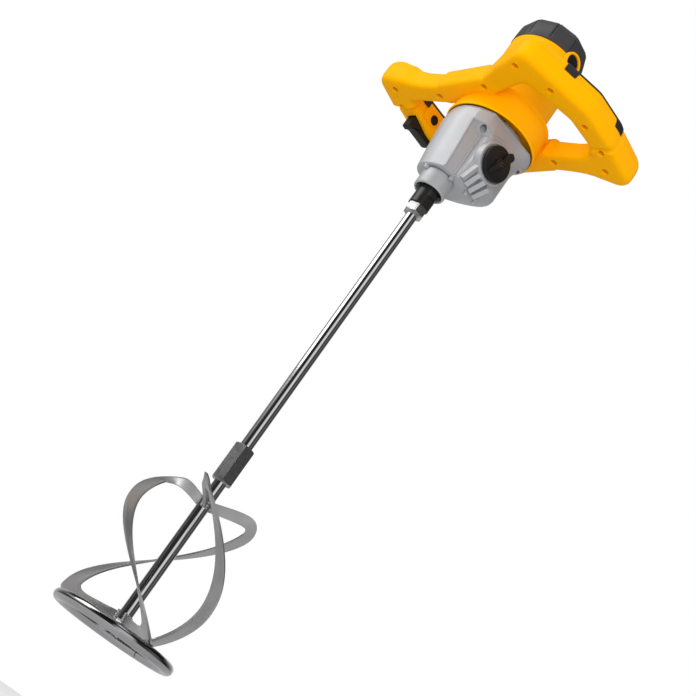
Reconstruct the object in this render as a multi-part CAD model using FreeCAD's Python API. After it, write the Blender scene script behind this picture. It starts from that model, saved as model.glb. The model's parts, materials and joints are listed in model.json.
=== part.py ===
import FreeCAD, Part
import math
import os
from FreeCAD import Vector

# Hand-held mixing drill with a ring paddle, all sizes in millimetres.
# The spindle turns about Z and the paddle hangs below it, as the drill is held at work.
# Zero height is the mouth of the clamp collar. X runs across the two grips, Y along them.

os.makedirs("parts", exist_ok=True)

# Play between pieces
overrun = 2.0
running_play = 0.05
passing_gap = 0.4

# Axes: the motor stands behind the spindle
motor_offset = 27.0

# Paddle
rod_diameter = 14.0
rods_meet_depth = 388.0
rods_meet_gap = 1.0
rod_tip_rise = 5.0
nut_across_flats = 22.0
nut_height = 11.5
coupling_across_flats = 22.0
coupling_length = 44.0
hex_turn_degrees = 23.0
blade_count = 3
blade_thickness = 3.5
blade_reach = 68.8
blade_twist_degrees = 156.4
blade_start_degrees = 78.7
blade_top_depth = 434.0
blade_height = 150.0
ring_outer_diameter = 140.0
ring_bar_diameter = 12.0
ring_weld_depth = 1.0

# Spindle
nose_drop = 23.0
nose_diameter = 25.7
nose_flats = 22.0
nose_flat_length = 14.0
socket_depth = 22.0
journal_diameter = 17.0
top_journal_diameter = 12.0
spline_count = 4
spline_width = 3.0
spline_height = 1.3

# Clamp collar and gear housing
collar_diameter = 39.4
collar_bore = 33.4
collar_length = 20.0
case_wall = 4.0
case_floor = 5.0
foot_radius = 28.5
foot_stretch = 4.0
underside_rise = 26.0
spindle_lobe_radius = 31.0
motor_lobe_radius = 46.0
flange_bottom = 106.0
flange_thickness = 4.0
flange_radius = 56.6
case_screw_across = 28.0
case_screw_along = 39.0
case_screw_diameter = 5.0
case_screw_head_diameter = 9.0
case_screw_head_height = 5.0
case_screw_length = 39.0
pocket_radius = 6.5
pocket_height = 13.0
pocket_ceiling = 9.0
pocket_wall = 2.0

# Ball bearings: bore is the journal, then outer diameter and width
spindle_bearing_diameter = 35.0
spindle_bearing_width = 10.0
spindle_top_bearing_diameter = 28.0
spindle_top_bearing_width = 8.0
lay_journal = 8.0
lay_bearing_diameter = 19.0
lay_bearing_width = 6.0
armature_bearing_diameter = 22.0
armature_bearing_width = 7.0
bearing_lip = 2.0
seal_width = 6.0
seal_height = 8.0

# Gears
pressure_degrees = 25.0
addendum_share = 0.8
dedendum_share = 1.1
backlash = 0.2
input_module = 1.0
input_pinion_teeth = 9
input_gear_teeth = 35
output_module = 1.25
low_pinion_teeth = 9
low_gear_teeth = 37
high_pinion_teeth = 15
high_gear_teeth = 31
gear_face = 12.0
input_gear_face = 8.0
lay_shaft_diameter = 10.0
low_gear_lift = 2.0

# Two-speed selector
shift_travel = 8.0
selector_along = 18.0
selector_lift = 9.0
dog_count = 4
dog_height = 3.0
dog_width = 5.0
dog_collar_height = 9.0
dog_collar_radius = 14.0
dog_ring_inner_radius = 10.2
fork_groove_radius = 11.6
fork_thickness = 3.0
rail_diameter = 6.0
rail_across = 22.0
rail_along = 22.0
fork_sleeve_wall = 3.0
selector_pin_diameter = 4.0
selector_pin_length = 5.0
selector_shaft_diameter = 10.0
selector_lug_thickness = 4.0
knob_radius = 21.3
knob_thickness = 5.5
knob_bar_width = 8.0
knob_bar_height = 5.0
knob_pointer_reach = 23.7
knob_turn_degrees = 23.0
knob_flat = 42.0
knob_boss_radius = 23.8
knob_boss_reach = 44.5
knob_screw_radius = 3.0

# Motor
skirt_radius = 59.5
skirt_gap = 3.0
skirt_height = 37.0
shoulder_height = 8.0
barrel_radius = 46.0
motor_wall = 3.0
armature_shaft_diameter = 10.0
armature_journal = 8.0
armature_radius = 23.0
armature_slots = 12
armature_slot_width = 3.0
armature_slot_depth = 6.0
armature_air_gap = 0.8
stack_lift = 8.0
stack_height = 60.0
winding_height = 8.0
winding_wall = 8.0
fan_radius = 38.0
fan_height = 12.0
fan_gap = 3.0
fan_disc = 2.5
fan_blades = 11
fan_blade_thickness = 1.6
baffle_thickness = 3.0
commutator_radius = 14.0
commutator_height = 16.0
winding_gap = 2.0
bracket_height = 9.0
bracket_gap = 1.0
bracket_arm_width = 24.0
brush_width = 6.5
brush_height = 10.0
brush_length = 18.0
brush_gap = 0.4
holder_wall = 1.5
brush_boss_radius = 14.0
brush_boss_reach = 4.0
brush_cap_radius = 10.5
brush_cap_length = 7.0
cover_radius = 44.0
cover_height = 34.0
cover_lap = 9.0
cover_wall = 2.6
cover_round = 9.0
cover_slots = 12
cover_slot_width = 5.0
cover_slot_height = 9.0
cover_screw_diameter = 4.0
cover_screw_length = 20.0
cover_screw_head = 7.5

# Handle frame
frame_half_height = 19.5
split_rise = 5.5
rail_drop = 10.0
frame_wall = 3.0
frame_reach = 135.0
frame_depth = 90.0
frame_edge_radius = 10.0
frame_neck_radius = 8.0
corner_half_width = 21.0
fore_half_width = 20.0
rail_half_width = 13.5
grip_half_width = 17.0
insert_thickness = 1.2
insert_start_share = -0.75
insert_end_share = 0.40
insert_skirt = 6.0
frame_screw_diameter = 4.0
frame_screw_head = 7.6
frame_screw_head_height = 2.6
frame_screw_sink = 5.0
frame_boss_wall = 2.4

# Switch
trigger_length = 47.0
trigger_width = 15.0
trigger_drop = 11.0
trigger_inside = 6.0
trigger_lip = 7.0
trigger_middle = -3.0
trigger_degrees = 6.0
pivot_diameter = 4.0
switch_length = 44.0
switch_width = 18.0
lock_diameter = 12.0
lock_along = -2.0
lock_drop = 3.0
lock_proud = 0.8
lock_travel = 3.0
lock_stem = 6.0
lock_rim = 2.0
inlet_diameter = 14.0
inlet_bore = 9.0
inlet_length = 12.0
inlet_flange = 2.5

UP = Vector(0, 0, 1)
ACROSS = Vector(1, 0, 0)


def post(diameter, bottom, top, x=0, y=0):
    """A round post standing at x, y."""
    return Part.makeCylinder(diameter / 2, top - bottom, Vector(x, y, bottom), UP)


def sleeve(outer, bore, bottom, top, x=0, y=0):
    """A round post with a through bore."""
    return post(outer, bottom, top, x, y).cut(post(bore, bottom - overrun, top + overrun, x, y))


def lying(diameter, start, end, y, z):
    """A round bar along X."""
    return Part.makeCylinder(diameter / 2, end - start, Vector(start, y, z), ACROSS)


def block(x0, x1, y0, y1, z0, z1):
    """A box given by its faces."""
    return Part.makeBox(x1 - x0, y1 - y0, z1 - z0, Vector(x0, y0, z0))


def prism(points, bottom, top):
    """An upright prism on a closed outline."""
    corners = [Vector(x, y, bottom) for x, y in points]
    face = Part.Face(Part.makePolygon(corners + corners[:1]))
    return face.extrude(UP * (top - bottom))


def hexagon(across_flats, bottom, top):
    """A hexagonal bar on the spindle axis."""
    reach = across_flats / math.sqrt(3)
    turns = [math.radians(hex_turn_degrees + 60 * side) for side in range(6)]
    return prism([(reach * math.cos(turn), reach * math.sin(turn)) for turn in turns], bottom, top)


def turned(shape, degrees, x=0, y=0):
    """A copy turned about an upright axis."""
    copy = shape.copy()
    copy.rotate(Vector(x, y, 0), UP, degrees)
    return copy


def opposite(shape):
    """A copy on the other side of the motor axis."""
    return turned(shape, 180, 0, motor_offset)


def save(name, shape):
    """One file for one sub-part, with its seams merged."""
    shape.removeSplitter().exportStep("parts/" + name + ".step")


def save_group(name, solids):
    """One file for several separate like pieces."""
    Part.makeCompound(solids).exportStep("parts/" + name + ".step")


# Heights along the spindle, from the nose up to the cover plate
nose_bottom = -nose_drop
nut_bottom = nose_bottom - nut_height
floor_top = collar_length + case_floor
bearing_bottom = collar_length + bearing_lip
bearing_top = bearing_bottom + spindle_bearing_width
low_bottom = bearing_top + low_gear_lift
low_top = low_bottom + gear_face
collar_rest = low_top + passing_gap
high_bottom = collar_rest + dog_collar_height + shift_travel + passing_gap
high_top = high_bottom + gear_face
flange_top = flange_bottom + flange_thickness
cover_plate_top = flange_top + armature_bearing_width + bearing_lip / 2

# Heights of the motor, from its skirt up to the rear cover
skirt_bottom = flange_top + skirt_gap
skirt_top = skirt_bottom + skirt_height
fan_bottom = cover_plate_top + fan_gap
stack_bottom = skirt_top + stack_lift
stack_top = stack_bottom + stack_height
commutator_bottom = stack_top + winding_height + winding_gap
bracket_bottom = commutator_bottom + commutator_height + bracket_gap
barrel_top = bracket_bottom + bracket_height
cover_bottom = barrel_top - cover_lap
cover_top = cover_bottom + cover_height
selector_height = collar_rest + (dog_collar_height + shift_travel) / 2 + selector_lift

# Place of the lay shaft: in mesh with both the armature and the spindle
output_distance = output_module * (low_pinion_teeth + low_gear_teeth) / 2
input_distance = input_module * (input_pinion_teeth + input_gear_teeth) / 2
lay_y = (output_distance ** 2 - input_distance ** 2 + motor_offset ** 2) / (2 * motor_offset)
lay_x = -math.sqrt(output_distance ** 2 - lay_y ** 2)
spindle_to_lay = math.degrees(math.atan2(lay_y, lay_x))
motor_to_lay = math.degrees(math.atan2(lay_y - motor_offset, lay_x))
input_bottom = high_top + passing_gap + bearing_lip
input_top = input_bottom + input_gear_face


def gear(module, teeth, bottom, top, x, y, degrees):
    """A spur gear with involute flanks and one tooth pointing at the given angle."""
    pressure = math.radians(pressure_degrees)
    pitch = module * teeth / 2
    base = pitch * math.cos(pressure)
    tip = pitch + addendum_share * module
    root = pitch - dedendum_share * module
    half_tooth = math.pi / (2 * teeth) - backlash / (4 * pitch)

    def half_angle(radius):
        roll = math.acos(min(1, base / radius))
        return half_tooth + math.tan(pressure) - pressure - math.tan(roll) + roll

    start = max(base, root + running_play)
    flank = [root, start, (start + pitch) / 2, pitch, (pitch + tip) / 2, tip]
    outline = []
    for tooth in range(teeth):
        middle = math.radians(degrees) + 2 * math.pi * tooth / teeth
        for radius in flank:
            turn = middle - half_angle(radius)
            outline.append((x + radius * math.cos(turn), y + radius * math.sin(turn)))
        for radius in reversed(flank):
            turn = middle + half_angle(radius)
            outline.append((x + radius * math.cos(turn), y + radius * math.sin(turn)))
    return prism(outline, bottom, top)


def ring_of(shape, count, y=0):
    """Copies of a shape spaced evenly round an upright axis."""
    return [turned(shape, 360 * step / count, 0, y) for step in range(count)]


# Mixing rods, with the nut that locks the upper one in the spindle
rod_top = nose_bottom + socket_depth - passing_gap
upper_rod = post(rod_diameter, -rods_meet_depth + rods_meet_gap / 2, rod_top)
blade_bottom = -blade_top_depth - blade_height
lower_rod_bottom = blade_bottom + rod_tip_rise
lower_rod = post(rod_diameter, lower_rod_bottom, -rods_meet_depth - rods_meet_gap / 2)
rod_bore = post(rod_diameter, lower_rod_bottom, 0)
save("upper_rod", upper_rod)
save("lower_rod", lower_rod)
save("jam_nut", hexagon(nut_across_flats, nut_bottom, nose_bottom).cut(rod_bore))
coupling_bottom = -rods_meet_depth - coupling_length / 2
coupling_top = coupling_bottom + coupling_length
save("hex_coupling", hexagon(coupling_across_flats, coupling_bottom, coupling_top).cut(rod_bore))

# Paddle blades: each is flat bar cut as a bracket from rod to rim and back, then twisted about the rod.
# Rows follow the bracket down: shares of the reach and of the height, for its outer and its inner edge.
blade_edge_shares = (
    (0.08, 0.005, 0.08, -0.049), (0.30, 0.037, 0.30, -0.017), (0.52, 0.066, 0.52, 0.010),
    (0.713, 0.078, 0.68, 0.024), (0.856, 0.056, 0.755, 0.017), (0.961, -0.004, 0.795, -0.006),
    (1.00, -0.086, 0.81, -0.040), (1.00, -0.260, 0.81, -0.240), (1.00, -0.500, 0.81, -0.500),
    (1.00, -0.740, 0.81, -0.740), (1.00, -0.930, 0.80, -0.880), (0.97, -1.010, 0.77, -0.925),
    (0.73, -1.012, 0.66, -0.945), (0.40, -1.000, 0.40, -0.935), (0.08, -0.980, 0.08, -0.916),
)
blade_steps = 4
ring_middle_radius = (ring_outer_diameter - ring_bar_diameter) / 2
ring_height = blade_bottom - ring_weld_depth - ring_bar_diameter / 2


def ruled_face(first, second):
    """The face of straight lines between two curves with the same knots."""
    surface = Part.BSplineSurface()
    surface.buildFromPolesMultsKnots([first.getPoles(), second.getPoles()], (2, 2), first.getMultiplicities(),
                                     (0, 1), first.getKnots(), False, False, 1, first.Degree)
    return surface.toShape()


def spline_through(points):
    """A curve through points at evenly spaced parameters."""
    curve = Part.BSplineCurve()
    curve.interpolate(Points=points, Parameters=[index / (len(points) - 1) for index in range(len(points))])
    return curve


def blade(degrees):
    """One twisted blade: four long edges from the top weld to the bottom weld, and the faces between them."""
    rows = []
    for above, below in zip(blade_edge_shares, blade_edge_shares[1:]):
        for step in range(blade_steps):
            rows.append([start + (end - start) * step / blade_steps for start, end in zip(above, below)])
    rows.append(blade_edge_shares[-1])
    corner_lines = ([], [], [], [])
    for outer, rise, inner, inner_rise in rows:
        corners = ((outer, rise, -1), (outer, rise, 1), (inner, inner_rise, 1), (inner, inner_rise, -1))
        for line, (far, level, face) in zip(corner_lines, corners):
            turn = math.radians(degrees - blade_twist_degrees * level)
            out = Vector(math.cos(turn), math.sin(turn), 0)
            about = Vector(-math.sin(turn), math.cos(turn), 0)
            height = level * blade_height - blade_top_depth
            line.append(out * (far * blade_reach) + about * (face * blade_thickness / 2) + UP * height)
    curves = [spline_through(line) for line in corner_lines]
    faces = [ruled_face(curves[side - 1], curves[side]) for side in range(len(curves))]
    for end in (0, -1):
        outside = spline_through([corner_lines[0][end], corner_lines[1][end]])
        inside = spline_through([corner_lines[3][end], corner_lines[2][end]])
        faces.append(ruled_face(outside, inside))
    shell = Part.makeShell(faces)
    shell.sewShape()
    return Part.makeSolid(shell)


ring = Part.makeTorus(ring_middle_radius, ring_bar_diameter / 2, Vector(0, 0, ring_height), UP)
for number in range(blade_count):
    piece = blade(blade_start_degrees + 360 * number / blade_count)
    piece = piece.cut(post(rod_diameter, lower_rod_bottom - overrun, -coupling_length))
    save("blade_" + str(number + 1), piece.cut(ring))
save("bottom_ring", ring)

# Spindle: flatted nose with the rod socket, bearing journals and the splines of the dog collar
spindle_top = flange_top
spindle = post(nose_diameter, nose_bottom, bearing_bottom)
spindle = spindle.fuse(post(journal_diameter, bearing_bottom, input_bottom))
spindle = spindle.fuse(post(top_journal_diameter, input_bottom, spindle_top))
spline_top = high_bottom - passing_gap
spline_reach = journal_diameter / 2 + spline_height
spline = block(0, spline_reach, -spline_width / 2, spline_width / 2, low_top, spline_top)
spindle = spindle.fuse(ring_of(spline, spline_count))
spindle = spindle.cut(post(rod_diameter, nose_bottom - overrun, nose_bottom + socket_depth))
flat_box = block(nose_flats / 2, nose_diameter, -nose_diameter, nose_diameter,
                 nose_bottom - overrun, nose_bottom + nose_flat_length)
spindle = spindle.cut([flat_box, turned(flat_box, 180)])
save("spindle", spindle)

# Gears on the spindle: the low gear is locked by the dogs at rest, the high gear runs free
gear_bore = journal_diameter + 2 * running_play
dog = block(dog_ring_inner_radius, dog_collar_radius - passing_gap,
            -dog_width / 2, dog_width / 2, 0, dog_height)
dog_slot = block(dog_ring_inner_radius - passing_gap, dog_collar_radius + passing_gap,
                 -dog_width / 2 - passing_gap, dog_width / 2 + passing_gap,
                 low_top - dog_height - passing_gap, low_top + overrun)
low_gear = gear(output_module, low_gear_teeth, low_bottom, low_top, 0, 0, spindle_to_lay)
low_gear = low_gear.cut(post(journal_diameter, low_bottom - overrun, low_top + overrun))
save("low_gear", low_gear.cut(ring_of(dog_slot, dog_count)))
high_gear = gear(output_module, high_gear_teeth, high_bottom, high_top, 0, 0, spindle_to_lay)
high_gear = high_gear.cut(post(gear_bore, high_bottom - overrun, high_top + overrun))
dog_ring = sleeve(2 * (dog_collar_radius + passing_gap), 2 * (dog_ring_inner_radius - passing_gap),
                  high_bottom - overrun, high_bottom + dog_height + passing_gap)
save("high_gear", high_gear.cut(dog_ring))

# Dog collar: slides on the splines between the two gears
collar_top = collar_rest + dog_collar_height
collar_middle = collar_rest + dog_collar_height / 2
dog_collar = sleeve(2 * dog_collar_radius, gear_bore, collar_rest, collar_top)
key_slot = block(0, spline_reach + running_play, -spline_width / 2 - running_play,
                 spline_width / 2 + running_play, collar_rest - overrun, collar_top + overrun)
groove_half = fork_thickness / 2 + running_play
fork_groove = sleeve(2 * (dog_collar_radius + overrun), 2 * fork_groove_radius,
                     collar_middle - groove_half, collar_middle + groove_half)
dog_collar = dog_collar.cut(ring_of(key_slot, spline_count)).cut(fork_groove)
for level in (collar_rest - dog_height, collar_top):
    lifted = dog.copy()
    lifted.translate(UP * level)
    dog_collar = dog_collar.fuse(ring_of(lifted, dog_count))
save("dog_collar", dog_collar)

# Lay shaft with its two pinions in one piece, and the input gear pressed on it
lay_bottom = floor_top
lay_top = flange_top
low_pinion = gear(output_module, low_pinion_teeth, low_bottom, low_top, lay_x, lay_y,
                  180 + spindle_to_lay + 180 / low_pinion_teeth)
high_pinion = gear(output_module, high_pinion_teeth, high_bottom, high_top, lay_x, lay_y,
                   180 + spindle_to_lay + 180 / high_pinion_teeth)
lay_shaft = post(lay_journal, lay_bottom, lay_top, lay_x, lay_y).fuse(low_pinion)
lay_shaft = lay_shaft.fuse(post(lay_shaft_diameter, low_top, high_bottom, lay_x, lay_y)).fuse(high_pinion)
save("lay_shaft", lay_shaft.fuse(post(lay_shaft_diameter, high_top, input_top, lay_x, lay_y)))
input_gear = gear(input_module, input_gear_teeth, input_bottom, input_top, lay_x, lay_y,
                  180 + motor_to_lay + 180 / input_gear_teeth)
input_bore = post(lay_shaft_diameter, input_bottom - overrun, input_top + overrun, lay_x, lay_y)
save("input_gear", input_gear.cut(input_bore))

# Bearings and the shaft seal
lay_bearing_bottom = floor_top + bearing_lip / 2
lay_bearing_top = lay_bearing_bottom + lay_bearing_width
lay_cap_bottom = flange_top - lay_bearing_width
top_bearing_bottom = flange_top - spindle_top_bearing_width
armature_bearing_top = flange_top + armature_bearing_width
upper_armature_bearing_top = barrel_top - bearing_lip / 2
seal_bottom = seal_height
save("spindle_lower_bearing", sleeve(spindle_bearing_diameter, gear_bore, bearing_bottom, bearing_top))
save("spindle_upper_bearing", sleeve(spindle_top_bearing_diameter, top_journal_diameter + 2 * running_play,
                                     top_bearing_bottom, flange_top))
save("lay_lower_bearing", sleeve(lay_bearing_diameter, lay_journal + 2 * running_play,
                                 lay_bearing_bottom, lay_bearing_top, lay_x, lay_y))
save("lay_upper_bearing", sleeve(lay_bearing_diameter, lay_journal + 2 * running_play,
                                 lay_cap_bottom, flange_top, lay_x, lay_y))
save("armature_lower_bearing", sleeve(armature_bearing_diameter, armature_journal + 2 * running_play,
                                      flange_top, armature_bearing_top, 0, motor_offset))
save("armature_upper_bearing", sleeve(armature_bearing_diameter, armature_journal + 2 * running_play,
                                      upper_armature_bearing_top - armature_bearing_width,
                                      upper_armature_bearing_top, 0, motor_offset))
seal_top = seal_bottom + seal_width
save("spindle_seal", sleeve(collar_bore, nose_diameter + 2 * running_play, seal_bottom, seal_top))


def two_lobes(level, front_radius, back_radius, stretch):
    """Outline round a front and a back lobe, joined by tangents."""
    lean = math.asin((back_radius - front_radius) / stretch)
    right = Vector(math.cos(lean), -math.sin(lean), 0)
    left = Vector(-math.cos(lean), -math.sin(lean), 0)
    front = Vector(0, 0, level)
    back = Vector(0, stretch, level)
    edges = [
        Part.Arc(front + left * front_radius, front - Vector(0, front_radius, 0),
                 front + right * front_radius).toShape(),
        Part.LineSegment(front + right * front_radius, back + right * back_radius).toShape(),
        Part.Arc(back + right * back_radius, back + Vector(0, back_radius, 0),
                 back + left * back_radius).toShape(),
        Part.LineSegment(back + left * back_radius, front + left * front_radius).toShape(),
    ]
    return Part.Wire(edges)


def case_solid(inset, foot, shoulder, top):
    """The gear case without its flange: a slanting underside that widens to two full lobes."""
    narrow = foot_radius - inset
    front = spindle_lobe_radius - inset
    back = motor_lobe_radius - inset
    wide = two_lobes(shoulder, front, back, motor_offset)
    underside = Part.makeLoft([two_lobes(foot, narrow, narrow, foot_stretch), wide], True, True)
    upright = Part.Face(wide).extrude(UP * (top - shoulder))
    flat_room = block(-flange_radius, knob_flat - inset, -flange_radius, motor_offset + flange_radius,
                      foot, top)
    return underside.fuse(upright).common(flat_room)


# Gear housing: die-cast case with the clamp collar, the knob boss and pockets for its screws
case_screw_places = [(side * case_screw_across, motor_offset + end * case_screw_along)
                     for side in (-1, 1) for end in (-1, 1)]
shoulder_level = collar_length + underside_rise
housing = case_solid(0, collar_length, shoulder_level, flange_top)
housing = housing.fuse(post(2 * flange_radius, flange_bottom, flange_top, 0, motor_offset))
housing = housing.fuse(lying(2 * knob_boss_radius, 0, knob_boss_reach, selector_along, selector_height))
cavity = case_solid(case_wall, floor_top, shoulder_level + case_wall, flange_top + overrun)
rail_foot = floor_top + bearing_lip
seats = [post(spindle_bearing_diameter + 2 * case_wall, collar_length, bearing_top),
         post(lay_bearing_diameter + case_wall, collar_length, lay_bearing_top, lay_x, lay_y),
         post(rail_diameter + 2 * case_wall, floor_top, floor_top + 2 * case_wall, rail_across, rail_along)]
pocket_top = flange_bottom - pocket_ceiling
pocket_bottom = pocket_top - pocket_height
guard_bottom = pocket_bottom - pocket_wall
guards = [post(2 * (pocket_radius + pocket_wall), guard_bottom, flange_top, x, y)
          for x, y in case_screw_places]
guard_room = case_solid(0, collar_length, shoulder_level, flange_top)
housing = housing.cut(cavity).fuse(seats + [guard.common(guard_room) for guard in guards])
housing = housing.fuse(post(collar_diameter, 0, collar_length + case_floor))
shaft_hole_start = knob_flat - case_wall - overrun
housing = housing.cut([
    post(collar_bore, -overrun, seal_top),
    post(nose_diameter + 2 * passing_gap, 0, bearing_bottom + overrun),
    post(spindle_bearing_diameter, bearing_bottom, bearing_top + overrun),
    post(lay_bearing_diameter, lay_bearing_bottom, low_top, lay_x, lay_y),
    post(lay_journal + 2 * passing_gap, lay_bottom, lay_bearing_top, lay_x, lay_y),
    post(rail_diameter, rail_foot, shoulder_level, rail_across, rail_along),
    lying(selector_shaft_diameter + 2 * running_play, shaft_hole_start, knob_boss_reach + overrun,
          selector_along, selector_height)])
for x, y in case_screw_places:
    housing = housing.cut(post(2 * pocket_radius, pocket_bottom, pocket_top, x, y))
    housing = housing.cut(post(case_screw_diameter, pocket_top - overrun, flange_top + overrun, x, y))
save("gear_housing", housing)

# Cover plate of the gear case: carries the upper bearings and the lower armature bearing
plate = post(2 * (skirt_radius - motor_wall - passing_gap / 2), flange_top, cover_plate_top, 0, motor_offset)
plate = plate.fuse([
    post(spindle_top_bearing_diameter + 2 * bearing_lip, top_bearing_bottom, flange_top),
    post(lay_bearing_diameter + 2 * bearing_lip, lay_cap_bottom, flange_top, lay_x, lay_y)])
plate = plate.cut([
    post(spindle_top_bearing_diameter, top_bearing_bottom - overrun, flange_top),
    post(lay_bearing_diameter, lay_cap_bottom - overrun, flange_top, lay_x, lay_y),
    post(armature_bearing_diameter, flange_top, cover_plate_top + overrun, 0, motor_offset),
    post(rail_diameter, flange_top - overrun, flange_top + bearing_lip, rail_across, rail_along)])
plate = plate.cut([post(case_screw_diameter, flange_top - overrun, cover_plate_top + overrun, x, y)
                   for x, y in case_screw_places])
save("gear_case_cover", plate)

case_screws = []
for x, y in case_screw_places:
    head = post(case_screw_head_diameter, pocket_top - case_screw_head_height, pocket_top, x, y)
    drive = post(case_screw_diameter, pocket_top - case_screw_head_height - overrun,
                 pocket_top - case_screw_head_height / 2, x, y)
    shank = post(case_screw_diameter, pocket_top, pocket_top + case_screw_length, x, y)
    case_screws.append(head.cut(drive).fuse(shank))
save_group("gear_case_screws", case_screws)

# Selector: knob with its pointer bar, crank shaft through the case, rail and shift fork
pin_throw = shift_travel / 2
shaft_end = knob_flat - case_wall - passing_gap
knob_back = knob_boss_reach + passing_gap
knob_face = knob_back + knob_thickness
bar_face_x = knob_face + knob_bar_height
shaft_tip = knob_back + knob_thickness / 2
knob_screw_seat = knob_face + knob_bar_height / 2


def on_selector(diameter, start, end, rise=0):
    """A round bar along the selector axis."""
    return lying(diameter, start, end, selector_along, selector_height + rise)


lug_back = shaft_end - selector_lug_thickness / 2 - passing_gap
crank = on_selector(selector_shaft_diameter, shaft_end, shaft_tip)
crank_disc = on_selector(2 * (pin_throw + selector_pin_diameter), shaft_end - selector_lug_thickness / 2,
                         shaft_end)
pin = on_selector(selector_pin_diameter, lug_back - selector_pin_length, shaft_end, -pin_throw)
save("selector_shaft", crank.fuse(crank_disc).fuse(pin))
bar = block(knob_face, bar_face_x, selector_along - knob_bar_width / 2, selector_along + knob_bar_width / 2,
            selector_height - knob_radius, selector_height + knob_pointer_reach)
bar = bar.common(on_selector(2 * knob_pointer_reach, knob_face, bar_face_x))
bar.rotate(Vector(0, selector_along, selector_height), ACROSS, -knob_turn_degrees)
knob = on_selector(2 * knob_radius, knob_back, knob_face).fuse(bar)
save("selector_knob", knob.cut([
    on_selector(selector_shaft_diameter, knob_back - overrun, shaft_tip),
    on_selector(2 * knob_screw_radius, knob_screw_seat, bar_face_x + overrun)]))
save("knob_screw", on_selector(2 * knob_screw_radius, knob_screw_seat, bar_face_x))

save("shift_rail", post(rail_diameter, rail_foot, flange_top + bearing_lip, rail_across, rail_along))
fork_low = collar_middle - fork_thickness / 2
fork_high = collar_middle + fork_thickness / 2
fork_bore = rail_diameter + 2 * running_play
fork_sleeve = rail_diameter + 2 * fork_sleeve_wall
rail_distance = math.hypot(rail_across, rail_along)
horn_radius = fork_groove_radius + running_play + passing_gap
horns = sleeve(2 * (dog_collar_radius + fork_sleeve_wall), 2 * horn_radius, fork_low, fork_high)
arm = block(0, rail_distance, -fork_sleeve / 2, fork_sleeve / 2, fork_low, fork_high)
arm = arm.cut(post(2 * horn_radius, fork_low - overrun, fork_high + overrun))
reach_round = dog_collar_radius + fork_sleeve_wall
half_plane = block(0, rail_distance + fork_sleeve, -reach_round, reach_round, fork_low, fork_high)
fork = turned(horns.common(half_plane).fuse(arm), math.degrees(math.atan2(rail_along, rail_across)))
lug_middle = collar_middle + selector_lift
fork = fork.fuse(post(fork_sleeve, collar_middle - selector_lug_thickness,
                      lug_middle + selector_lug_thickness, rail_across, rail_along))
slot_play = pin_throw / 4
slot_half = pin_throw + selector_pin_diameter / 2 + passing_gap
slot_rise = selector_pin_diameter / 2 + slot_play
lug = block(lug_back - selector_lug_thickness, lug_back, selector_along - slot_half - fork_sleeve_wall,
            selector_along + slot_half + fork_sleeve_wall, lug_middle - slot_rise - fork_sleeve_wall,
            lug_middle + slot_rise + fork_sleeve_wall)
slot = block(lug_back - selector_lug_thickness - overrun, lug_back + overrun, selector_along - slot_half,
             selector_along + slot_half, lug_middle - slot_rise, lug_middle + slot_rise)
strut = block(rail_across, lug_back, selector_along + slot_half, rail_along + fork_sleeve / 2,
              lug_middle - selector_lug_thickness, lug_middle + selector_lug_thickness)
fork = fork.fuse([lug, strut]).cut(slot)
save("shift_fork", fork.cut(post(fork_bore, 0, flange_top, rail_across, rail_along)))

# Armature: shaft with the cut pinion, laminated core, commutator and fan
pinion_bottom = input_bottom - bearing_lip
pinion_top = input_top + bearing_lip
upper_bearing_bottom = upper_armature_bearing_top - armature_bearing_width
armature_shaft = gear(input_module, input_pinion_teeth, pinion_bottom, pinion_top,
                      0, motor_offset, motor_to_lay)
armature_shaft = armature_shaft.fuse([
    post(armature_journal, pinion_top, armature_bearing_top, 0, motor_offset),
    post(armature_shaft_diameter, armature_bearing_top, upper_bearing_bottom, 0, motor_offset),
    post(armature_journal, upper_bearing_bottom, upper_armature_bearing_top, 0, motor_offset)])
save("armature_shaft", armature_shaft)
core = sleeve(2 * armature_radius, armature_shaft_diameter, stack_bottom, stack_top, 0, motor_offset)
core_slot = block(armature_radius - armature_slot_depth, armature_radius + overrun,
                  motor_offset - armature_slot_width / 2, motor_offset + armature_slot_width / 2,
                  stack_bottom - overrun, stack_top + overrun)
save("armature_core", core.cut(ring_of(core_slot, armature_slots, motor_offset)))
save("commutator", sleeve(2 * commutator_radius, armature_shaft_diameter, commutator_bottom,
                          commutator_bottom + commutator_height, 0, motor_offset))
fan_top = fan_bottom + fan_height
fan = sleeve(2 * fan_radius, armature_shaft_diameter, fan_top - fan_disc, fan_top, 0, motor_offset)
fan = fan.fuse(sleeve(2 * armature_shaft_diameter, armature_shaft_diameter, fan_bottom, fan_top,
                      0, motor_offset))
vane = block(armature_shaft_diameter - fan_blade_thickness, fan_radius - fan_blade_thickness,
             motor_offset - fan_blade_thickness / 2, motor_offset + fan_blade_thickness / 2,
             fan_bottom, fan_top)
save("fan", fan.fuse(ring_of(vane, fan_blades, motor_offset)))

# Motor housing: skirt over the gear case, shoulder and barrel, with two brush bosses
shoulder_top = skirt_top + shoulder_height
brush_height_middle = commutator_bottom + commutator_height / 2
barrel_bore = 2 * (barrel_radius - motor_wall)
neck_diameter = 2 * (cover_radius - cover_wall - running_play)
neck_bore = neck_diameter - 2 * motor_wall
skirt_bore = 2 * (skirt_radius - motor_wall)
motor_shell = post(2 * skirt_radius, skirt_bottom, skirt_top, 0, motor_offset)
motor_shell = motor_shell.fuse(Part.makeCone(skirt_radius, barrel_radius, shoulder_height,
                                             Vector(0, motor_offset, skirt_top), UP))
motor_shell = motor_shell.fuse([post(2 * barrel_radius, shoulder_top, cover_bottom, 0, motor_offset),
                                post(neck_diameter, shoulder_top, barrel_top, 0, motor_offset)])
boss_end = barrel_radius + brush_boss_reach
boss = lying(2 * brush_boss_radius, 0, boss_end, motor_offset, brush_height_middle)
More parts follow.
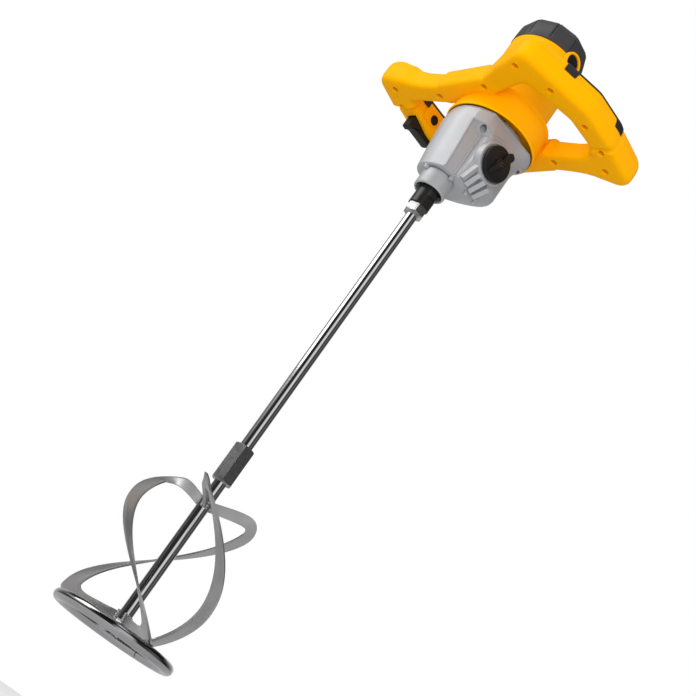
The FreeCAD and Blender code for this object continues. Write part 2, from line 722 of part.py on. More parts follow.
motor_shell = motor_shell.fuse([boss, opposite(boss)])
motor_shell = motor_shell.cut([
    post(skirt_bore, skirt_bottom - overrun, skirt_top - motor_wall, 0, motor_offset),
    post(barrel_bore, skirt_bottom, commutator_bottom, 0, motor_offset),
    post(neck_bore, skirt_bottom, barrel_top + overrun, 0, motor_offset)])
towers = [sleeve(2 * case_screw_diameter, case_screw_diameter, cover_plate_top, skirt_top - motor_wall, x, y)
          for x, y in case_screw_places]
motor_shell = motor_shell.fuse(towers)
boss_bore = lying(2 * brush_cap_radius, 0, boss_end + overrun, motor_offset, brush_height_middle)
motor_shell = motor_shell.cut([boss_bore, opposite(boss_bore)])
save("motor_housing", motor_shell)

stator_bore = 2 * (armature_radius + armature_air_gap)
baffle_top = skirt_top - motor_wall
baffle_bottom = baffle_top - baffle_thickness
baffle = sleeve(skirt_bore, stator_bore, baffle_bottom, baffle_top, 0, motor_offset)
save("air_baffle", baffle.cut([post(2 * case_screw_diameter, baffle_bottom, baffle_top, x, y)
                               for x, y in case_screw_places]))
save("stator_core", sleeve(barrel_bore, stator_bore, stack_bottom, stack_top, 0, motor_offset))
coil_outer = barrel_bore - 2 * motor_wall
save_group("field_windings", [
    sleeve(coil_outer, coil_outer - 2 * winding_wall, level, level + winding_height, 0, motor_offset)
    for level in (stack_bottom - winding_height, stack_top)])

# Bearing bracket: a bridge across the barrel that holds the upper armature bearing
bracket = sleeve(neck_bore, neck_bore - 2 * motor_wall, bracket_bottom, barrel_top, 0, motor_offset)
bridge = block(-barrel_radius, barrel_radius, motor_offset - bracket_arm_width / 2,
               motor_offset + bracket_arm_width / 2, bracket_bottom, barrel_top)
bridge = bridge.common(post(neck_bore - motor_wall, bracket_bottom, barrel_top, 0, motor_offset))
hub = post(armature_bearing_diameter + 2 * motor_wall, bracket_bottom, barrel_top, 0, motor_offset)
bracket = bracket.fuse([bridge, turned(bridge, 90, 0, motor_offset), hub])
bracket = bracket.cut([
    post(armature_bearing_diameter, upper_bearing_bottom, barrel_top + overrun, 0, motor_offset),
    post(armature_shaft_diameter + 2 * passing_gap, bracket_bottom - overrun, barrel_top, 0, motor_offset)])
cover_screw_ring = neck_bore / 2 - cover_screw_head / 2 - cover_wall
cover_screw_hole = post(cover_screw_diameter, bracket_bottom - overrun, barrel_top + overrun,
                        0, motor_offset + cover_screw_ring)
save("bearing_bracket", bracket.cut([cover_screw_hole, opposite(cover_screw_hole)]))

# Brushes in their brass holders, and the caps that close the bosses
brush_start = commutator_radius + brush_gap
holder_start = brush_start + brush_gap
holder_end = boss_end - brush_cap_length
half_w = brush_width / 2
half_h = brush_height / 2


def brush_side(inset, start, end):
    """A bar along X beside the commutator, grown by a wall."""
    return block(start, end, motor_offset - half_w - inset, motor_offset + half_w + inset,
                 brush_height_middle - half_h - inset, brush_height_middle + half_h + inset)


brush = brush_side(0, brush_start, brush_start + brush_length)
holder = brush_side(holder_wall, holder_start, holder_end)
holder = holder.cut(brush_side(0, holder_start - overrun, holder_end + overrun))
cap = lying(2 * brush_cap_radius, holder_end, boss_end, motor_offset, brush_height_middle)
cap_slot = block(boss_end - holder_wall, boss_end + overrun,
                 motor_offset - brush_cap_radius, motor_offset + brush_cap_radius,
                 brush_height_middle - holder_wall / 2, brush_height_middle + holder_wall / 2)
spring = sleeve(brush_width, brush_width - 2 * holder_wall, brush_start + brush_length, holder_end)
spring.rotate(Vector(0, 0, 0), Vector(0, 1, 0), 90)
spring.translate(Vector(0, motor_offset, brush_height_middle))
cap = cap.cut(cap_slot)
save_group("carbon_brushes", [brush, opposite(brush)])
save_group("brush_holders", [holder, opposite(holder)])
save_group("brush_springs", [spring, opposite(spring)])
save_group("brush_caps", [cap, opposite(cap)])

# Rear cover: moulded cap with air slots round its side
cover = post(2 * cover_radius, cover_bottom, cover_top, 0, motor_offset)
top_edges = [edge for edge in cover.Edges if cover_top - edge.BoundBox.ZMin < running_play]
cover = cover.makeFillet(cover_round, top_edges)
hollow = post(2 * (cover_radius - cover_wall), cover_bottom - overrun, cover_top - cover_round,
              0, motor_offset)
boss_room = lying(2 * (brush_boss_radius + passing_gap), 0, boss_end, motor_offset, brush_height_middle)
slot_bottom = barrel_top + 2 * cover_wall
air_slot = block(0, cover_radius + overrun, motor_offset - cover_slot_width / 2,
                 motor_offset + cover_slot_width / 2, slot_bottom, slot_bottom + cover_slot_height)
air_slot = turned(air_slot, 180 / cover_slots, 0, motor_offset)
screw_y = motor_offset + cover_screw_ring
foot_top = barrel_top + cover_wall
foot = block(-cover_screw_head, cover_screw_head, screw_y - cover_screw_head / 2, motor_offset + cover_radius,
             barrel_top, foot_top)
foot = foot.common(post(2 * cover_radius - cover_wall, barrel_top, foot_top, 0, motor_offset))
foot = foot.cut(post(cover_screw_diameter, barrel_top - overrun, foot_top + overrun, 0, screw_y))
cover = cover.cut([hollow, boss_room, opposite(boss_room)] + ring_of(air_slot, cover_slots, motor_offset))
cover = cover.fuse([foot, opposite(foot)])
save("rear_cover", cover)
cover_screw = post(cover_screw_diameter, foot_top - cover_screw_length, foot_top, 0, screw_y)
cover_screw = cover_screw.fuse(post(cover_screw_head, foot_top, foot_top + cover_wall, 0, screw_y))
save_group("rear_cover_screws", [cover_screw, opposite(cover_screw)])

# Handle frame: a closed loop of tapering bars round the motor, the same after half a turn.
# Rows hold the shares of the reach and of the depth, and the half width of the bar there.
half_frame = (
    (-0.933, -0.733, corner_half_width), (-0.444, -0.622, rail_half_width), (0.074, -0.678, rail_half_width),
    (0.696, -0.978, fore_half_width), (0.970, -0.167, grip_half_width), (1.000, 0.278, grip_half_width),
)
frame_nodes = [(side * x_share * frame_reach, motor_offset + side * y_share * frame_depth, half)
               for side in (1, -1) for x_share, y_share, half in half_frame]
frame_middle = skirt_top
frame_low = frame_middle - frame_half_height
frame_high = frame_middle + frame_half_height
frame_split = frame_middle + split_rise

# Between the corners the rails' tops dip. Rows hold the shares of the reach and of the drop.
rail_dip_shares = ((-0.82, 0), (-0.72, -1), (0.20, -1), (0.50, 0))


def bar_face(index, level):
    """Outline of one bar: two round ends joined by tangents."""
    x0, y0, r0 = frame_nodes[index]
    x1, y1, r1 = frame_nodes[(index + 1) % len(frame_nodes)]
    start = Vector(x0, y0, level)
    end = Vector(x1, y1, level)
    along = (end - start).normalize()
    slope = (r0 - r1) / (end - start).Length
    normal = Vector(-along.y, along.x, 0) * math.sqrt(1 - slope ** 2)
    left = along * slope + normal
    right = along * slope - normal
    return Part.Face(Part.Wire([
        Part.Arc(start + right * r0, start - along * r0, start + left * r0).toShape(),
        Part.LineSegment(start + left * r0, end + left * r1).toShape(),
        Part.Arc(end + left * r1, end + along * r1, end + right * r1).toShape(),
        Part.LineSegment(end + right * r1, start + right * r0).toShape()]))


def dip_room(grow):
    """The space above the front rail, down to its top."""
    front = motor_offset - frame_reach
    points = [Vector(x_share * frame_reach, front, frame_high + z_share * rail_drop + grow)
              for x_share, z_share in rail_dip_shares]
    above = UP * frame_half_height
    points = [points[0] + above] + points + [points[-1] + above]
    profile = Part.Face(Part.makePolygon(points + points[:1]))
    return profile.extrude(Vector(0, frame_reach, 0))


def frame_solid(grow):
    """The loop with rounded edges, grown or shrunk on all sides."""
    bars = [bar_face(number, frame_low - grow) for number in range(len(frame_nodes))]
    plan = bars[0].multiFuse(bars[1:]).removeSplitter().Faces[0]
    plan = plan.makeOffset2D(frame_neck_radius).makeOffset2D(grow - frame_neck_radius).Faces[0]
    solid = plan.extrude(UP * (frame_high - frame_low + 2 * grow))
    rims = [edge for edge in solid.Edges if edge.BoundBox.ZLength < running_play]
    solid = solid.makeFillet(frame_edge_radius + grow, rims)
    return solid.cut([dip_room(grow), opposite(dip_room(grow))])


frame_outer = frame_solid(0)
frame_inner = frame_solid(-frame_wall)
motor_envelope = [
    post(2 * skirt_radius, 0, skirt_top, 0, motor_offset),
    Part.makeCone(skirt_radius, barrel_radius, shoulder_height, Vector(0, motor_offset, skirt_top), UP),
    post(2 * barrel_radius, shoulder_top, cover_top, 0, motor_offset)]

# Screws that clamp the two shells, driven from below: shares of the reach and the depth, and the dip there.
# The right grip has one more in its middle, where the left one has its trigger.
frame_screw_shares = ((0.92, 0.77, 0), (0.985, 0.45, 0), (0.42, 0.61, rail_drop), (0.16, -0.73, rail_drop),
                      (0.63, -1.03, 0), (0.84, -0.61, 0))
grip_screw_shares = (0.975, 0.0, 0)
screw_rows = [(side, *row) for side in (-1, 1) for row in frame_screw_shares] + [(1, *grip_screw_shares)]
frame_screw_places = [(side * x_share * frame_reach, motor_offset + side * y_share * frame_depth,
                       frame_high - dip - frame_wall) for side, x_share, y_share, dip in screw_rows]
boss_diameter = frame_screw_head + 2 * frame_boss_wall
bosses = [post(boss_diameter, frame_low, frame_high, x, y) for x, y, shank_top in frame_screw_places]
frame_body = frame_outer.cut(frame_inner).fuse(Part.makeCompound(bosses).common(frame_outer).Solids)
frame_body = frame_body.cut(motor_envelope)
shell_room = 2 * frame_reach
lower_room = block(-shell_room, shell_room, -shell_room, shell_room, 0, frame_split)
upper_room = block(-shell_room, shell_room, -shell_room, shell_room, frame_split, cover_top)
head_seat = frame_low + frame_screw_sink + frame_screw_head_height
frame_screws = []
screw_holes = []
for x, y, shank_top in frame_screw_places:
    shank = post(frame_screw_diameter, head_seat, shank_top, x, y)
    head = post(frame_screw_head, head_seat - frame_screw_head_height, head_seat, x, y)
    frame_screws.append(head.fuse(shank))
    screw_holes.append(shank.fuse(post(frame_screw_head, frame_low - overrun, head_seat, x, y)))
frame_body = frame_body.cut(screw_holes)
lower_shell = frame_body.common(lower_room)
save("frame_upper_shell", frame_body.common(upper_room))
save_group("frame_screws", frame_screws)

# Switch in the left grip: trigger underneath, lock button on the side towards the motor
grip_x = (frame_nodes[10][0] + frame_nodes[11][0]) / 2
trigger_y = motor_offset + trigger_middle
trigger_top = frame_low + frame_wall + trigger_inside
trigger_bottom = frame_low - trigger_drop
trigger_front = trigger_y - trigger_length / 2
trigger_back = trigger_y + trigger_length / 2
trigger = block(grip_x - trigger_width / 2, grip_x + trigger_width / 2, trigger_front, trigger_back,
                trigger_bottom, trigger_top)
ramp_x = grip_x - trigger_width
ramp = Part.Face(Part.makePolygon([
    Vector(ramp_x, trigger_front + trigger_lip, trigger_bottom - overrun),
    Vector(ramp_x, trigger_back + overrun, trigger_bottom - overrun),
    Vector(ramp_x, trigger_back + overrun, trigger_bottom + trigger_drop / 2),
    Vector(ramp_x, trigger_front + trigger_lip, trigger_bottom),
    Vector(ramp_x, trigger_front + trigger_lip, trigger_bottom - overrun)]))
pivot_z = frame_low + frame_wall + pivot_diameter / 2
pivot_y = trigger_back - pivot_diameter
pivot_bore = lying(pivot_diameter + 2 * running_play, grip_x - trigger_width, grip_x + trigger_width,
                   pivot_y, pivot_z)
save("trigger", trigger.cut([ramp.extrude(ACROSS * (2 * trigger_width)), pivot_bore]))
pin_half = grip_half_width - frame_wall / 2
pin = lying(pivot_diameter, grip_x - pin_half, grip_x + pin_half, pivot_y, pivot_z)
save("trigger_pin", pin)
trigger_swing = trigger_length * math.sin(math.radians(trigger_degrees))
mouth_half = trigger_width / 2 + passing_gap
mouth = block(grip_x - mouth_half, grip_x + mouth_half, trigger_front - trigger_swing / 2,
              trigger_back + trigger_swing / 2, trigger_bottom - trigger_swing, trigger_top + trigger_swing)
switch_bottom = trigger_top + trigger_swing + passing_gap
switch = block(grip_x - switch_width / 2, grip_x + switch_width / 2, trigger_y - switch_length / 2,
               trigger_y + switch_length / 2, switch_bottom, frame_high)
save("switch_body", switch.common(frame_inner))
lock_y = motor_offset + lock_along
lock_height = frame_middle - lock_drop
grip_inside = grip_x + grip_half_width
lock_hole = lock_diameter + 2 * passing_gap
lock_bore = lying(lock_hole, grip_inside - 2 * frame_wall, grip_inside + 2 * frame_wall, lock_y, lock_height)
rim = lying(lock_hole + 2 * lock_rim, grip_inside - frame_wall, grip_inside + lock_rim, lock_y, lock_height)
stem_end = grip_x + switch_width / 2 + lock_travel + passing_gap
lock_face = grip_inside + lock_rim + lock_proud
lock = lying(lock_diameter, grip_inside - frame_wall, lock_face, lock_y, lock_height)
save("lock_button", lock.fuse(lying(lock_stem, stem_end, grip_inside, lock_y, lock_height)))

# Cord inlet: a flanged bush in the corner behind the trigger grip
inlet_x, inlet_corner_y, inlet_half = frame_nodes[9]
inlet_face = inlet_corner_y + inlet_half
inlet_height = frame_middle - lock_drop


def along_y(diameter, start, end):
    """A round bar along Y through the inlet corner."""
    return Part.makeCylinder(diameter / 2, end - start, Vector(inlet_x, start, inlet_height), Vector(0, 1, 0))


inlet_start = inlet_face - inlet_length
inlet = along_y(inlet_diameter, inlet_start, inlet_face)
inlet = inlet.fuse(along_y(inlet_diameter + 2 * inlet_flange, inlet_face, inlet_face + inlet_flange))
save("cord_inlet", inlet.cut(along_y(inlet_bore, inlet_start - overrun, inlet_face + inlet_length)))
inlet_hole = along_y(inlet_diameter, inlet_start, inlet_face + overrun)
save("frame_lower_shell", lower_shell.fuse(rim).cut([mouth, lock_bore, pin, inlet_hole]))

# Soft grip inserts over the top of both grips
insert_room = block(frame_reach / 2, shell_room, motor_offset + insert_start_share * frame_depth,
                    motor_offset + insert_end_share * frame_depth, frame_high - insert_skirt, cover_top)
insert = frame_solid(insert_thickness).common(insert_room).cut(frame_outer)
save("grip_insert_right", insert)
save("grip_insert_left", opposite(insert))
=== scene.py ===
import json
import bmesh
import bpy
import numpy as np
from mathutils import Matrix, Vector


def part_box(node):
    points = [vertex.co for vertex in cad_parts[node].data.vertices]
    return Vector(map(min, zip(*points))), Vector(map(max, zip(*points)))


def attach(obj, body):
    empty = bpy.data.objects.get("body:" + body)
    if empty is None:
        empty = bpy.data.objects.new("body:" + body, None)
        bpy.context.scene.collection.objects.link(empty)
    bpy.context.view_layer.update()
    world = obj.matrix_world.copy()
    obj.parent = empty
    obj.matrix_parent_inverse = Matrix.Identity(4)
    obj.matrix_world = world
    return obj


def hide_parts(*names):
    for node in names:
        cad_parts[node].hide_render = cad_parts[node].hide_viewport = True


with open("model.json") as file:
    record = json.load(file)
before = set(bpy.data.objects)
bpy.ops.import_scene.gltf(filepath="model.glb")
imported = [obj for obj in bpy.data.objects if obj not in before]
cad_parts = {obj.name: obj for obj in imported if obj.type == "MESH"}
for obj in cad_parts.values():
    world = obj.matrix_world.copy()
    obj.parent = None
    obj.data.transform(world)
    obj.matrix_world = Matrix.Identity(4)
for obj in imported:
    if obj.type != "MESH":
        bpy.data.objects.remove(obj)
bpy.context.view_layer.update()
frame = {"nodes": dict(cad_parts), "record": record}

# Mixing rods: two 14 mm bars of drawn and ground steel, the upper one screwed into the spindle
# and the lower one carrying the paddle. Their ends are chamfered on the lathe.
MM = 0.001
MERGE_DISTANCE = 1e-6


def span(node):
    """Lowest and highest corner of a node of the frame, in millimetres."""
    return np.array([list(corner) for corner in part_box(node)]) / MM


def piece(name, *grids, sharp=30.0):
    """One object from grids of points in millimetres. Point (i, j) makes a quad with (i + 1, j),
    (i + 1, j + 1) and (i, j + 1). Rows that meet are merged, which closes seams and poles, and the faces
    are turned outwards."""
    points, quads, first = [], [], 0
    for grid in grids:
        rows, columns = grid.shape[:2]
        index = first + np.arange(rows * columns).reshape(rows, columns)
        corners = [index[:-1, :-1], index[1:, :-1], index[1:, 1:], index[:-1, 1:]]
        quads.append(np.stack(corners, -1).reshape(-1, 4))
        points.append(grid.reshape(-1, 3))
        first += rows * columns
    mesh = bpy.data.meshes.new(name)
    mesh.from_pydata((np.concatenate(points) * MM).tolist(), [], np.concatenate(quads).tolist())
    shape = bmesh.new()
    shape.from_mesh(mesh)
    bmesh.ops.remove_doubles(shape, verts=shape.verts, dist=MERGE_DISTANCE)
    bmesh.ops.recalc_face_normals(shape, faces=shape.faces)
    shape.to_mesh(mesh)
    shape.free()
    mesh.shade_smooth()
    mesh.set_sharp_from_angle(angle=np.radians(sharp))
    made = bpy.data.objects.new(name, mesh)
    bpy.context.scene.collection.objects.link(made)
    return made


def turned(profile, x=0.0, y=0.0, steps=128):
    """A profile of (radius, height) rows turned about an upright axis: (x + r cos a, y + r sin a, z)."""
    angle = np.linspace(0, 2 * np.pi, steps + 1)
    radius, height = np.asarray(profile, float).T
    return np.stack([x + np.outer(radius, np.cos(angle)), y + np.outer(radius, np.sin(angle)),
                     np.outer(height, np.ones_like(angle))], -1)


class Shade:
    """One socket of a node tree. A sum or product with another socket or a number adds a Math node."""

    def __init__(self, tree, socket=None):
        self.tree = tree
        self.socket = socket

    def node(self, kind, inputs=None, out=0, stops=None, **settings):
        """Adds a node: its settings first, then a ramp's stops, then the values or links of its sockets."""
        made = self.tree.nodes.new("ShaderNode" + kind)
        for key, value in settings.items():
            setattr(made, key, value)
        if stops:
            elements = made.color_ramp.elements
            while len(elements) < len(stops):
                elements.new(1.0)
            for element, (place, colour) in zip(elements, stops):
                element.position = place
                element.color = colour
        for key, value in (inputs or {}).items():
            if isinstance(value, Shade):
                self.tree.links.new(value.socket, made.inputs[key])
            else:
                made.inputs[key].default_value = value
        return Shade(self.tree, made.outputs[out])

    def maths(self, operation, first, second):
        """A Math node on two sockets or numbers."""
        return self.node("Math", {0: first, 1: second}, operation=operation)

    def __add__(self, other):
        return self.maths("ADD", self, other)

    def __radd__(self, other):
        return self.maths("ADD", other, self)

    def __sub__(self, other):
        return self.maths("SUBTRACT", self, other)

    def __rsub__(self, other):
        return self.maths("SUBTRACT", other, self)

    def __mul__(self, other):
        return self.maths("MULTIPLY", self, other)

    def __rmul__(self, other):
        return self.maths("MULTIPLY", other, self)

    def place(self, scale=(1.0, 1.0, 1.0)):
        """Object coordinates, stretched."""
        coordinates = self.node("TexCoord", out="Object")
        return self.node("Mapping", {"Vector": coordinates, "Scale": scale})

    def noise(self, scale, detail=3.0, stretch=(1.0, 1.0, 1.0)):
        """Cloudy values from 0 to 1."""
        return self.node("TexNoise", {"Vector": self.place(stretch), "Scale": scale, "Detail": detail})

    def mix(self, first, second, factor):
        """A colour between two colours."""
        return self.node("Mix", {0: factor, 6: first, 7: second}, out=2, data_type="RGBA")

    def between(self, low, high):
        """This socket's 0 to 1, clamped, taken to low to high."""
        return self.node("MapRange", {"Value": self, "To Min": low, "To Max": high})

    def above(self, start, end):
        """0 below start, 1 past end."""
        return self.node("MapRange", {"Value": self, "From Min": start, "From Max": end})


finishes = {}


def finish(slot, sockets, **constants):
    """A material on the Principled shader. What is the same all over is set on the shader's sockets, and
    sockets(shade) returns what changes over the surface, a bump height among it."""
    material = bpy.data.materials.new(slot)
    material.use_nodes = True
    tree = material.node_tree
    shader = tree.nodes["Principled BSDF"]
    for key, value in constants.items():
        shader.inputs[key.replace("_", " ")].default_value = value
    varied = sockets(Shade(tree))
    height = varied.pop("Bump", None)
    if height:
        amount, depth = height
        varied["Normal"] = amount.node("Bump", {"Height": amount, "Distance": depth, "Strength": 1.0})
    for key, value in varied.items():
        tree.links.new(value.socket, shader.inputs[key])
    finishes[slot] = material
    return material


def dress(made, body, slot, *nodes):
    """Gives a piece the finish of its slot and its body, and hides the nodes that it stands for."""
    made.data.materials.clear()
    made.data.materials.append(finishes[slot])
    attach(made, body)
    if nodes:
        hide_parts(*nodes)
    return made


def ground_steel(shade):
    """Fine grinding lines round the bar and faint smudges."""
    lines = shade.noise(900.0, 2.0, (0.05, 0.05, 1.0))
    smudge = shade.noise(22.0, 4.0)
    return {"Base Color": shade.mix((0.70, 0.70, 0.71, 1), (0.54, 0.54, 0.55, 1), smudge),
            "Roughness": 0.04 + 0.06 * smudge + 0.03 * lines,
            "Bump": (lines, 0.00001)}


finish("rod_steel", ground_steel, Metallic=1.0)
rod_chamfer = 1.2
for node in ("upper_rod", "lower_rod"):
    (_, _, bottom), (rod_radius, _, top) = span(node)
    bar = turned([(0, bottom), (rod_radius - rod_chamfer, bottom), (rod_radius, bottom + rod_chamfer),
                  (rod_radius, top - rod_chamfer), (rod_radius - rod_chamfer, top), (0, top)], steps=160)
    dress(piece(node + "_bar", bar), "spindle", "rod_steel", node)

# Lock nut and coupling: hexagon bars in zinc-plated steel, cut to length, bored and chamfered at
# both ends on the lathe, so that each flat ends in a curved edge.
nut_across_flats = 22.0
hex_turn = np.radians(23.0)
hex_chamfer = np.radians(30.0)
hex_end_cut = 0.3
hex_end_rows = np.array([0, 0.3, 0.6, 0.9, 1.2, 1.5, 1.8])


def hexagon(bottom, top, across):
    """The lesser of a hexagon and a cone at each end: r = min(a / cos(turn from the flat),
    a - e + d / tan(c)), with a half the width, d the distance from the end and e the cut there."""
    angle = np.linspace(0, 2 * np.pi, 361)
    flat = np.mod(angle - hex_turn, np.pi / 3) - np.pi / 6
    six = across / 2 / np.cos(flat)
    level = np.concatenate([[bottom], bottom + hex_end_rows, top - hex_end_rows[::-1], [top]])
    inside = np.minimum(level - bottom, top - level)
    cone = across / 2 - hex_end_cut + inside / np.tan(hex_chamfer)
    radius = np.minimum(six[None, :], cone[:, None])
    radius[[0, -1]] = 0
    return np.stack([radius * np.cos(angle), radius * np.sin(angle), level[:, None] + 0 * radius], -1)


def plated_zinc(shade):
    """Zinc plate with dull blotches and spangles, brighter on the nut than on the coupling below it."""
    spangle = shade.node("TexVoronoi", {"Vector": shade.place(), "Scale": 260.0}, out="Color")
    spangle = shade.node("SeparateColor", {"Color": spangle})
    cloud = shade.noise(90.0, 5.0)
    blotch = cloud.above(0.35, 0.7) * 0.7 + spangle * 0.3
    height = shade.node("SeparateXYZ", {0: shade.place()}, out="Z")
    bright = shade.mix((0.46, 0.46, 0.46, 1), (0.66, 0.66, 0.66, 1), height.above(-0.3, -0.2))
    return {"Base Color": shade.mix(bright, (0.14, 0.14, 0.145, 1), blotch),
            "Roughness": 0.22 + 0.25 * blotch,
            "Bump": (cloud, 0.00006)}


finish("zinc_steel", plated_zinc, Metallic=1.0)
for node in ("jam_nut", "hex_coupling"):
    (_, _, bottom), (_, _, top) = span(node)
    dress(piece(node + "_hexagon", hexagon(bottom, top, nut_across_flats)), "spindle", "zinc_steel", node)

# Paddle blades: three flat steel bars, cut as brackets, twisted about the rod and welded to it and
# to the ring. Their sheared edges are a little rounded.
blade_reach = 68.8
blade_height = 150.0
blade_top = -434.0
blade_thickness = 3.5
blade_width = 12.0
blade_edge = 0.5
blade_twist = np.radians(156.4)
blade_starts = np.radians(78.7 + np.array([0.0, 120.0, 240.0]))
blade_shares = np.array([
    (0.08, 0.014, 0.08, -0.062), (0.30, 0.050, 0.30, -0.028), (0.52, 0.081, 0.52, 0.000),
    (0.713, 0.092, 0.68, 0.014), (0.856, 0.067, 0.755, 0.010), (0.961, 0.003, 0.795, -0.010),
    (1.00, -0.086, 0.81, -0.040), (1.00, -0.260, 0.81, -0.240), (1.00, -0.500, 0.81, -0.500),
    (1.00, -0.740, 0.81, -0.740), (1.00, -0.930, 0.80, -0.880), (0.97, -1.010, 0.77, -0.925),
    (0.73, -1.012, 0.66, -0.945), (0.40, -1.000, 0.40, -0.935), (0.08, -0.980, 0.08, -0.916)])


def smooth_rows(rows, steps):
    """Rows between the given ones, on the cubic through each four neighbours."""
    place = np.linspace(0, len(rows) - 1, (len(rows) - 1) * steps + 1)
    at = np.minimum(place.astype(int), len(rows) - 2)
    part = (place - at)[:, None]
    before, here, after, beyond = (rows[np.clip(at + shift, 0, len(rows) - 1)] for shift in (-1, 0, 1, 2))
    return here + part / 2 * (after - before + part * (2 * before - 5 * here + 4 * after - beyond
                                                       + part * (3 * (here - after) + beyond - before)))


def twisted(start, far, level, aside):
    """Points at a share of the reach and of the height, turned about the rod with the height, and set aside
    from the blade's middle: far * reach along (cos t, sin t), aside across it."""
    turn = start - blade_twist * level
    return np.stack([far * blade_reach * np.cos(turn) - aside * np.sin(turn),
                     far * blade_reach * np.sin(turn) + aside * np.cos(turn),
                     blade_top + level * blade_height], -1)


def capped(skin):
    """A skin closed at its first and last row by a point in the middle of each."""
    ends = skin[[0, -1]].mean(1, keepdims=True) + 0 * skin[[0, -1]]
    return np.concatenate([ends[:1], skin, ends[1:]])


def grained(first, second, cloud_size, grain_size, roughness, depth):
    """Sockets of a finish with a cloudy colour and a fine grain. A size is a noise's scale and detail,
    roughness is a + b cloud + c grain, and the grain raises a bump of the given depth."""
    def sockets(shade):
        grain = shade.noise(*grain_size)
        cloud = shade.noise(*cloud_size)
        least, clouded, rough = roughness
        return {"Base Color": shade.mix((*first, 1), (*second, 1), cloud),
                "Roughness": least + clouded * cloud + rough * grain,
                "Bump": (grain, depth)}
    return sockets


finish("blade_steel", grained((0.56, 0.56, 0.565), (0.40, 0.40, 0.405), (38.0, 4.0), (420.0, 4.0),
                              (0.30, 0.16, 0.08), 0.00004), Metallic=1.0)
blade_rows = smooth_rows(blade_shares, 10)
half = blade_thickness / 2
edge_share = blade_edge / blade_width
across_shares = np.array([edge_share, 0.25, 0.5, 0.75, 1 - edge_share, 1, 1, 1 - edge_share,
                          0.75, 0.5, 0.25, edge_share, 0, 0, edge_share])
asides = np.array([half] * 5 + [half - blade_edge, blade_edge - half] + [-half] * 5
                  + [blade_edge - half, half - blade_edge, half])
arm_lean = 6.5
arm_rows = 55
lean = -arm_lean * np.sin(np.pi * np.clip(np.arange(len(blade_rows)) / arm_rows, 0, 1))
asides = asides + lean[:, None] * across_shares
far = blade_rows[:, 0:1] + (blade_rows[:, 2:3] - blade_rows[:, 0:1]) * across_shares
level = blade_rows[:, 1:2] + (blade_rows[:, 3:4] - blade_rows[:, 1:2]) * across_shares
for number, start in enumerate(blade_starts, 1):
    skin = capped(twisted(start, far, level, asides))
    dress(piece(f"blade_{number}_bar", skin, sharp=40.0), "spindle", "blade_steel", f"blade_{number}")
drop_swell = 0.16


def bead(path, radius, ripple, turns=16):
    """A weld bead: a round section along a path, swelling and shrinking with each drop of the weld."""
    along = np.gradient(path, axis=0)
    along /= np.linalg.norm(along, axis=1, keepdims=True)
    out = path * np.array([1.0, 1.0, 0.0])
    out -= (out * along).sum(1, keepdims=True) * along
    out /= np.linalg.norm(out, axis=1, keepdims=True)
    side = np.cross(along, out)
    angle = np.linspace(0, 2 * np.pi, turns + 1)
    step = np.linspace(0, 1, len(path))
    ends = np.sqrt(np.clip(1 - (2 * step - 1) ** 8, 0, 1))
    swell = radius * ends * (1 + drop_swell * np.sin(ripple * step))
    return (path[:, None] + swell[:, None, None]
            * (np.cos(angle)[:, None] * out[:, None] + np.sin(angle)[:, None] * side[:, None]))


weld_radius = 1.9
weld_ripple = 22.0
weld_reach = 7.2
weld_aside = half + 0.6
weld_runs = [(0.018, -0.058), (-0.905, -0.975)]
rod_beads = []
for start in blade_starts:
    for first, last in weld_runs:
        for aside in (-weld_aside, weld_aside):
            run = np.linspace(first, last, 33)
            path = twisted(start, weld_reach / blade_reach + 0 * run, run, aside + 0 * run)
            rod_beads.append(bead(path, weld_radius, weld_ripple))
dress(piece("rod_welds", *rod_beads), "spindle", "blade_steel")

# Bottom ring: a polished round bar bent to a ring and butt welded, under the blades' feet.
# The butt weld is ground flush and shows as a thin seam.
ring_low, ring_high = span("bottom_ring")
ring_bar = (ring_high[2] - ring_low[2]) / 2
ring_radius = ring_high[0] - ring_bar
ring_level = ring_low[2] + ring_bar
seam_turn = np.radians(113.0)
seam_width = np.radians(0.6)
seam_share = 0.3
around = np.linspace(0, 2 * np.pi, 721)
around = np.unique(np.concatenate([around, seam_turn + seam_width * np.linspace(-3, 3, 41)]))
section = np.linspace(0, 2 * np.pi, 49)
seam = np.exp(-((around - seam_turn) / seam_width) ** 2)
ring_round = ring_bar * (1 - seam_share * seam)[:, None]
ring_reach = ring_radius + ring_round * np.cos(section)
ring_skin = np.stack([ring_reach * np.cos(around)[:, None], ring_reach * np.sin(around)[:, None],
                      ring_level + ring_round * np.sin(section)], -1)


def polished_chrome(shade):
    """Polished metal with smudges and a thin haze."""
    smudge = shade.noise(30.0, 4.0)
    haze = shade.noise(240.0, 3.0)
    return {"Base Color": shade.mix((0.50, 0.50, 0.51, 1), (0.34, 0.34, 0.35, 1), smudge),
            "Roughness": 0.05 + 0.07 * smudge + 0.03 * haze}


finish("ring_chrome", polished_chrome, Metallic=1.0)
dress(piece("bottom_ring_bar", ring_skin), "spindle", "ring_chrome", "bottom_ring")
foot_run = np.linspace(0.80, 0.96, 25)
foot_level = -1.008
foot_aside = half + 0.5
foot_weld_radius = 1.4
foot_weld_ripple = 16.0
foot_beads = []
for start in blade_starts:
    for aside in (-foot_aside, foot_aside):
        path = twisted(start, foot_run, foot_level + 0 * foot_run, aside + 0 * foot_run)
        foot_beads.append(bead(path, foot_weld_radius, foot_weld_ripple))
dress(piece("ring_welds", *foot_beads), "spindle", "blade_steel")

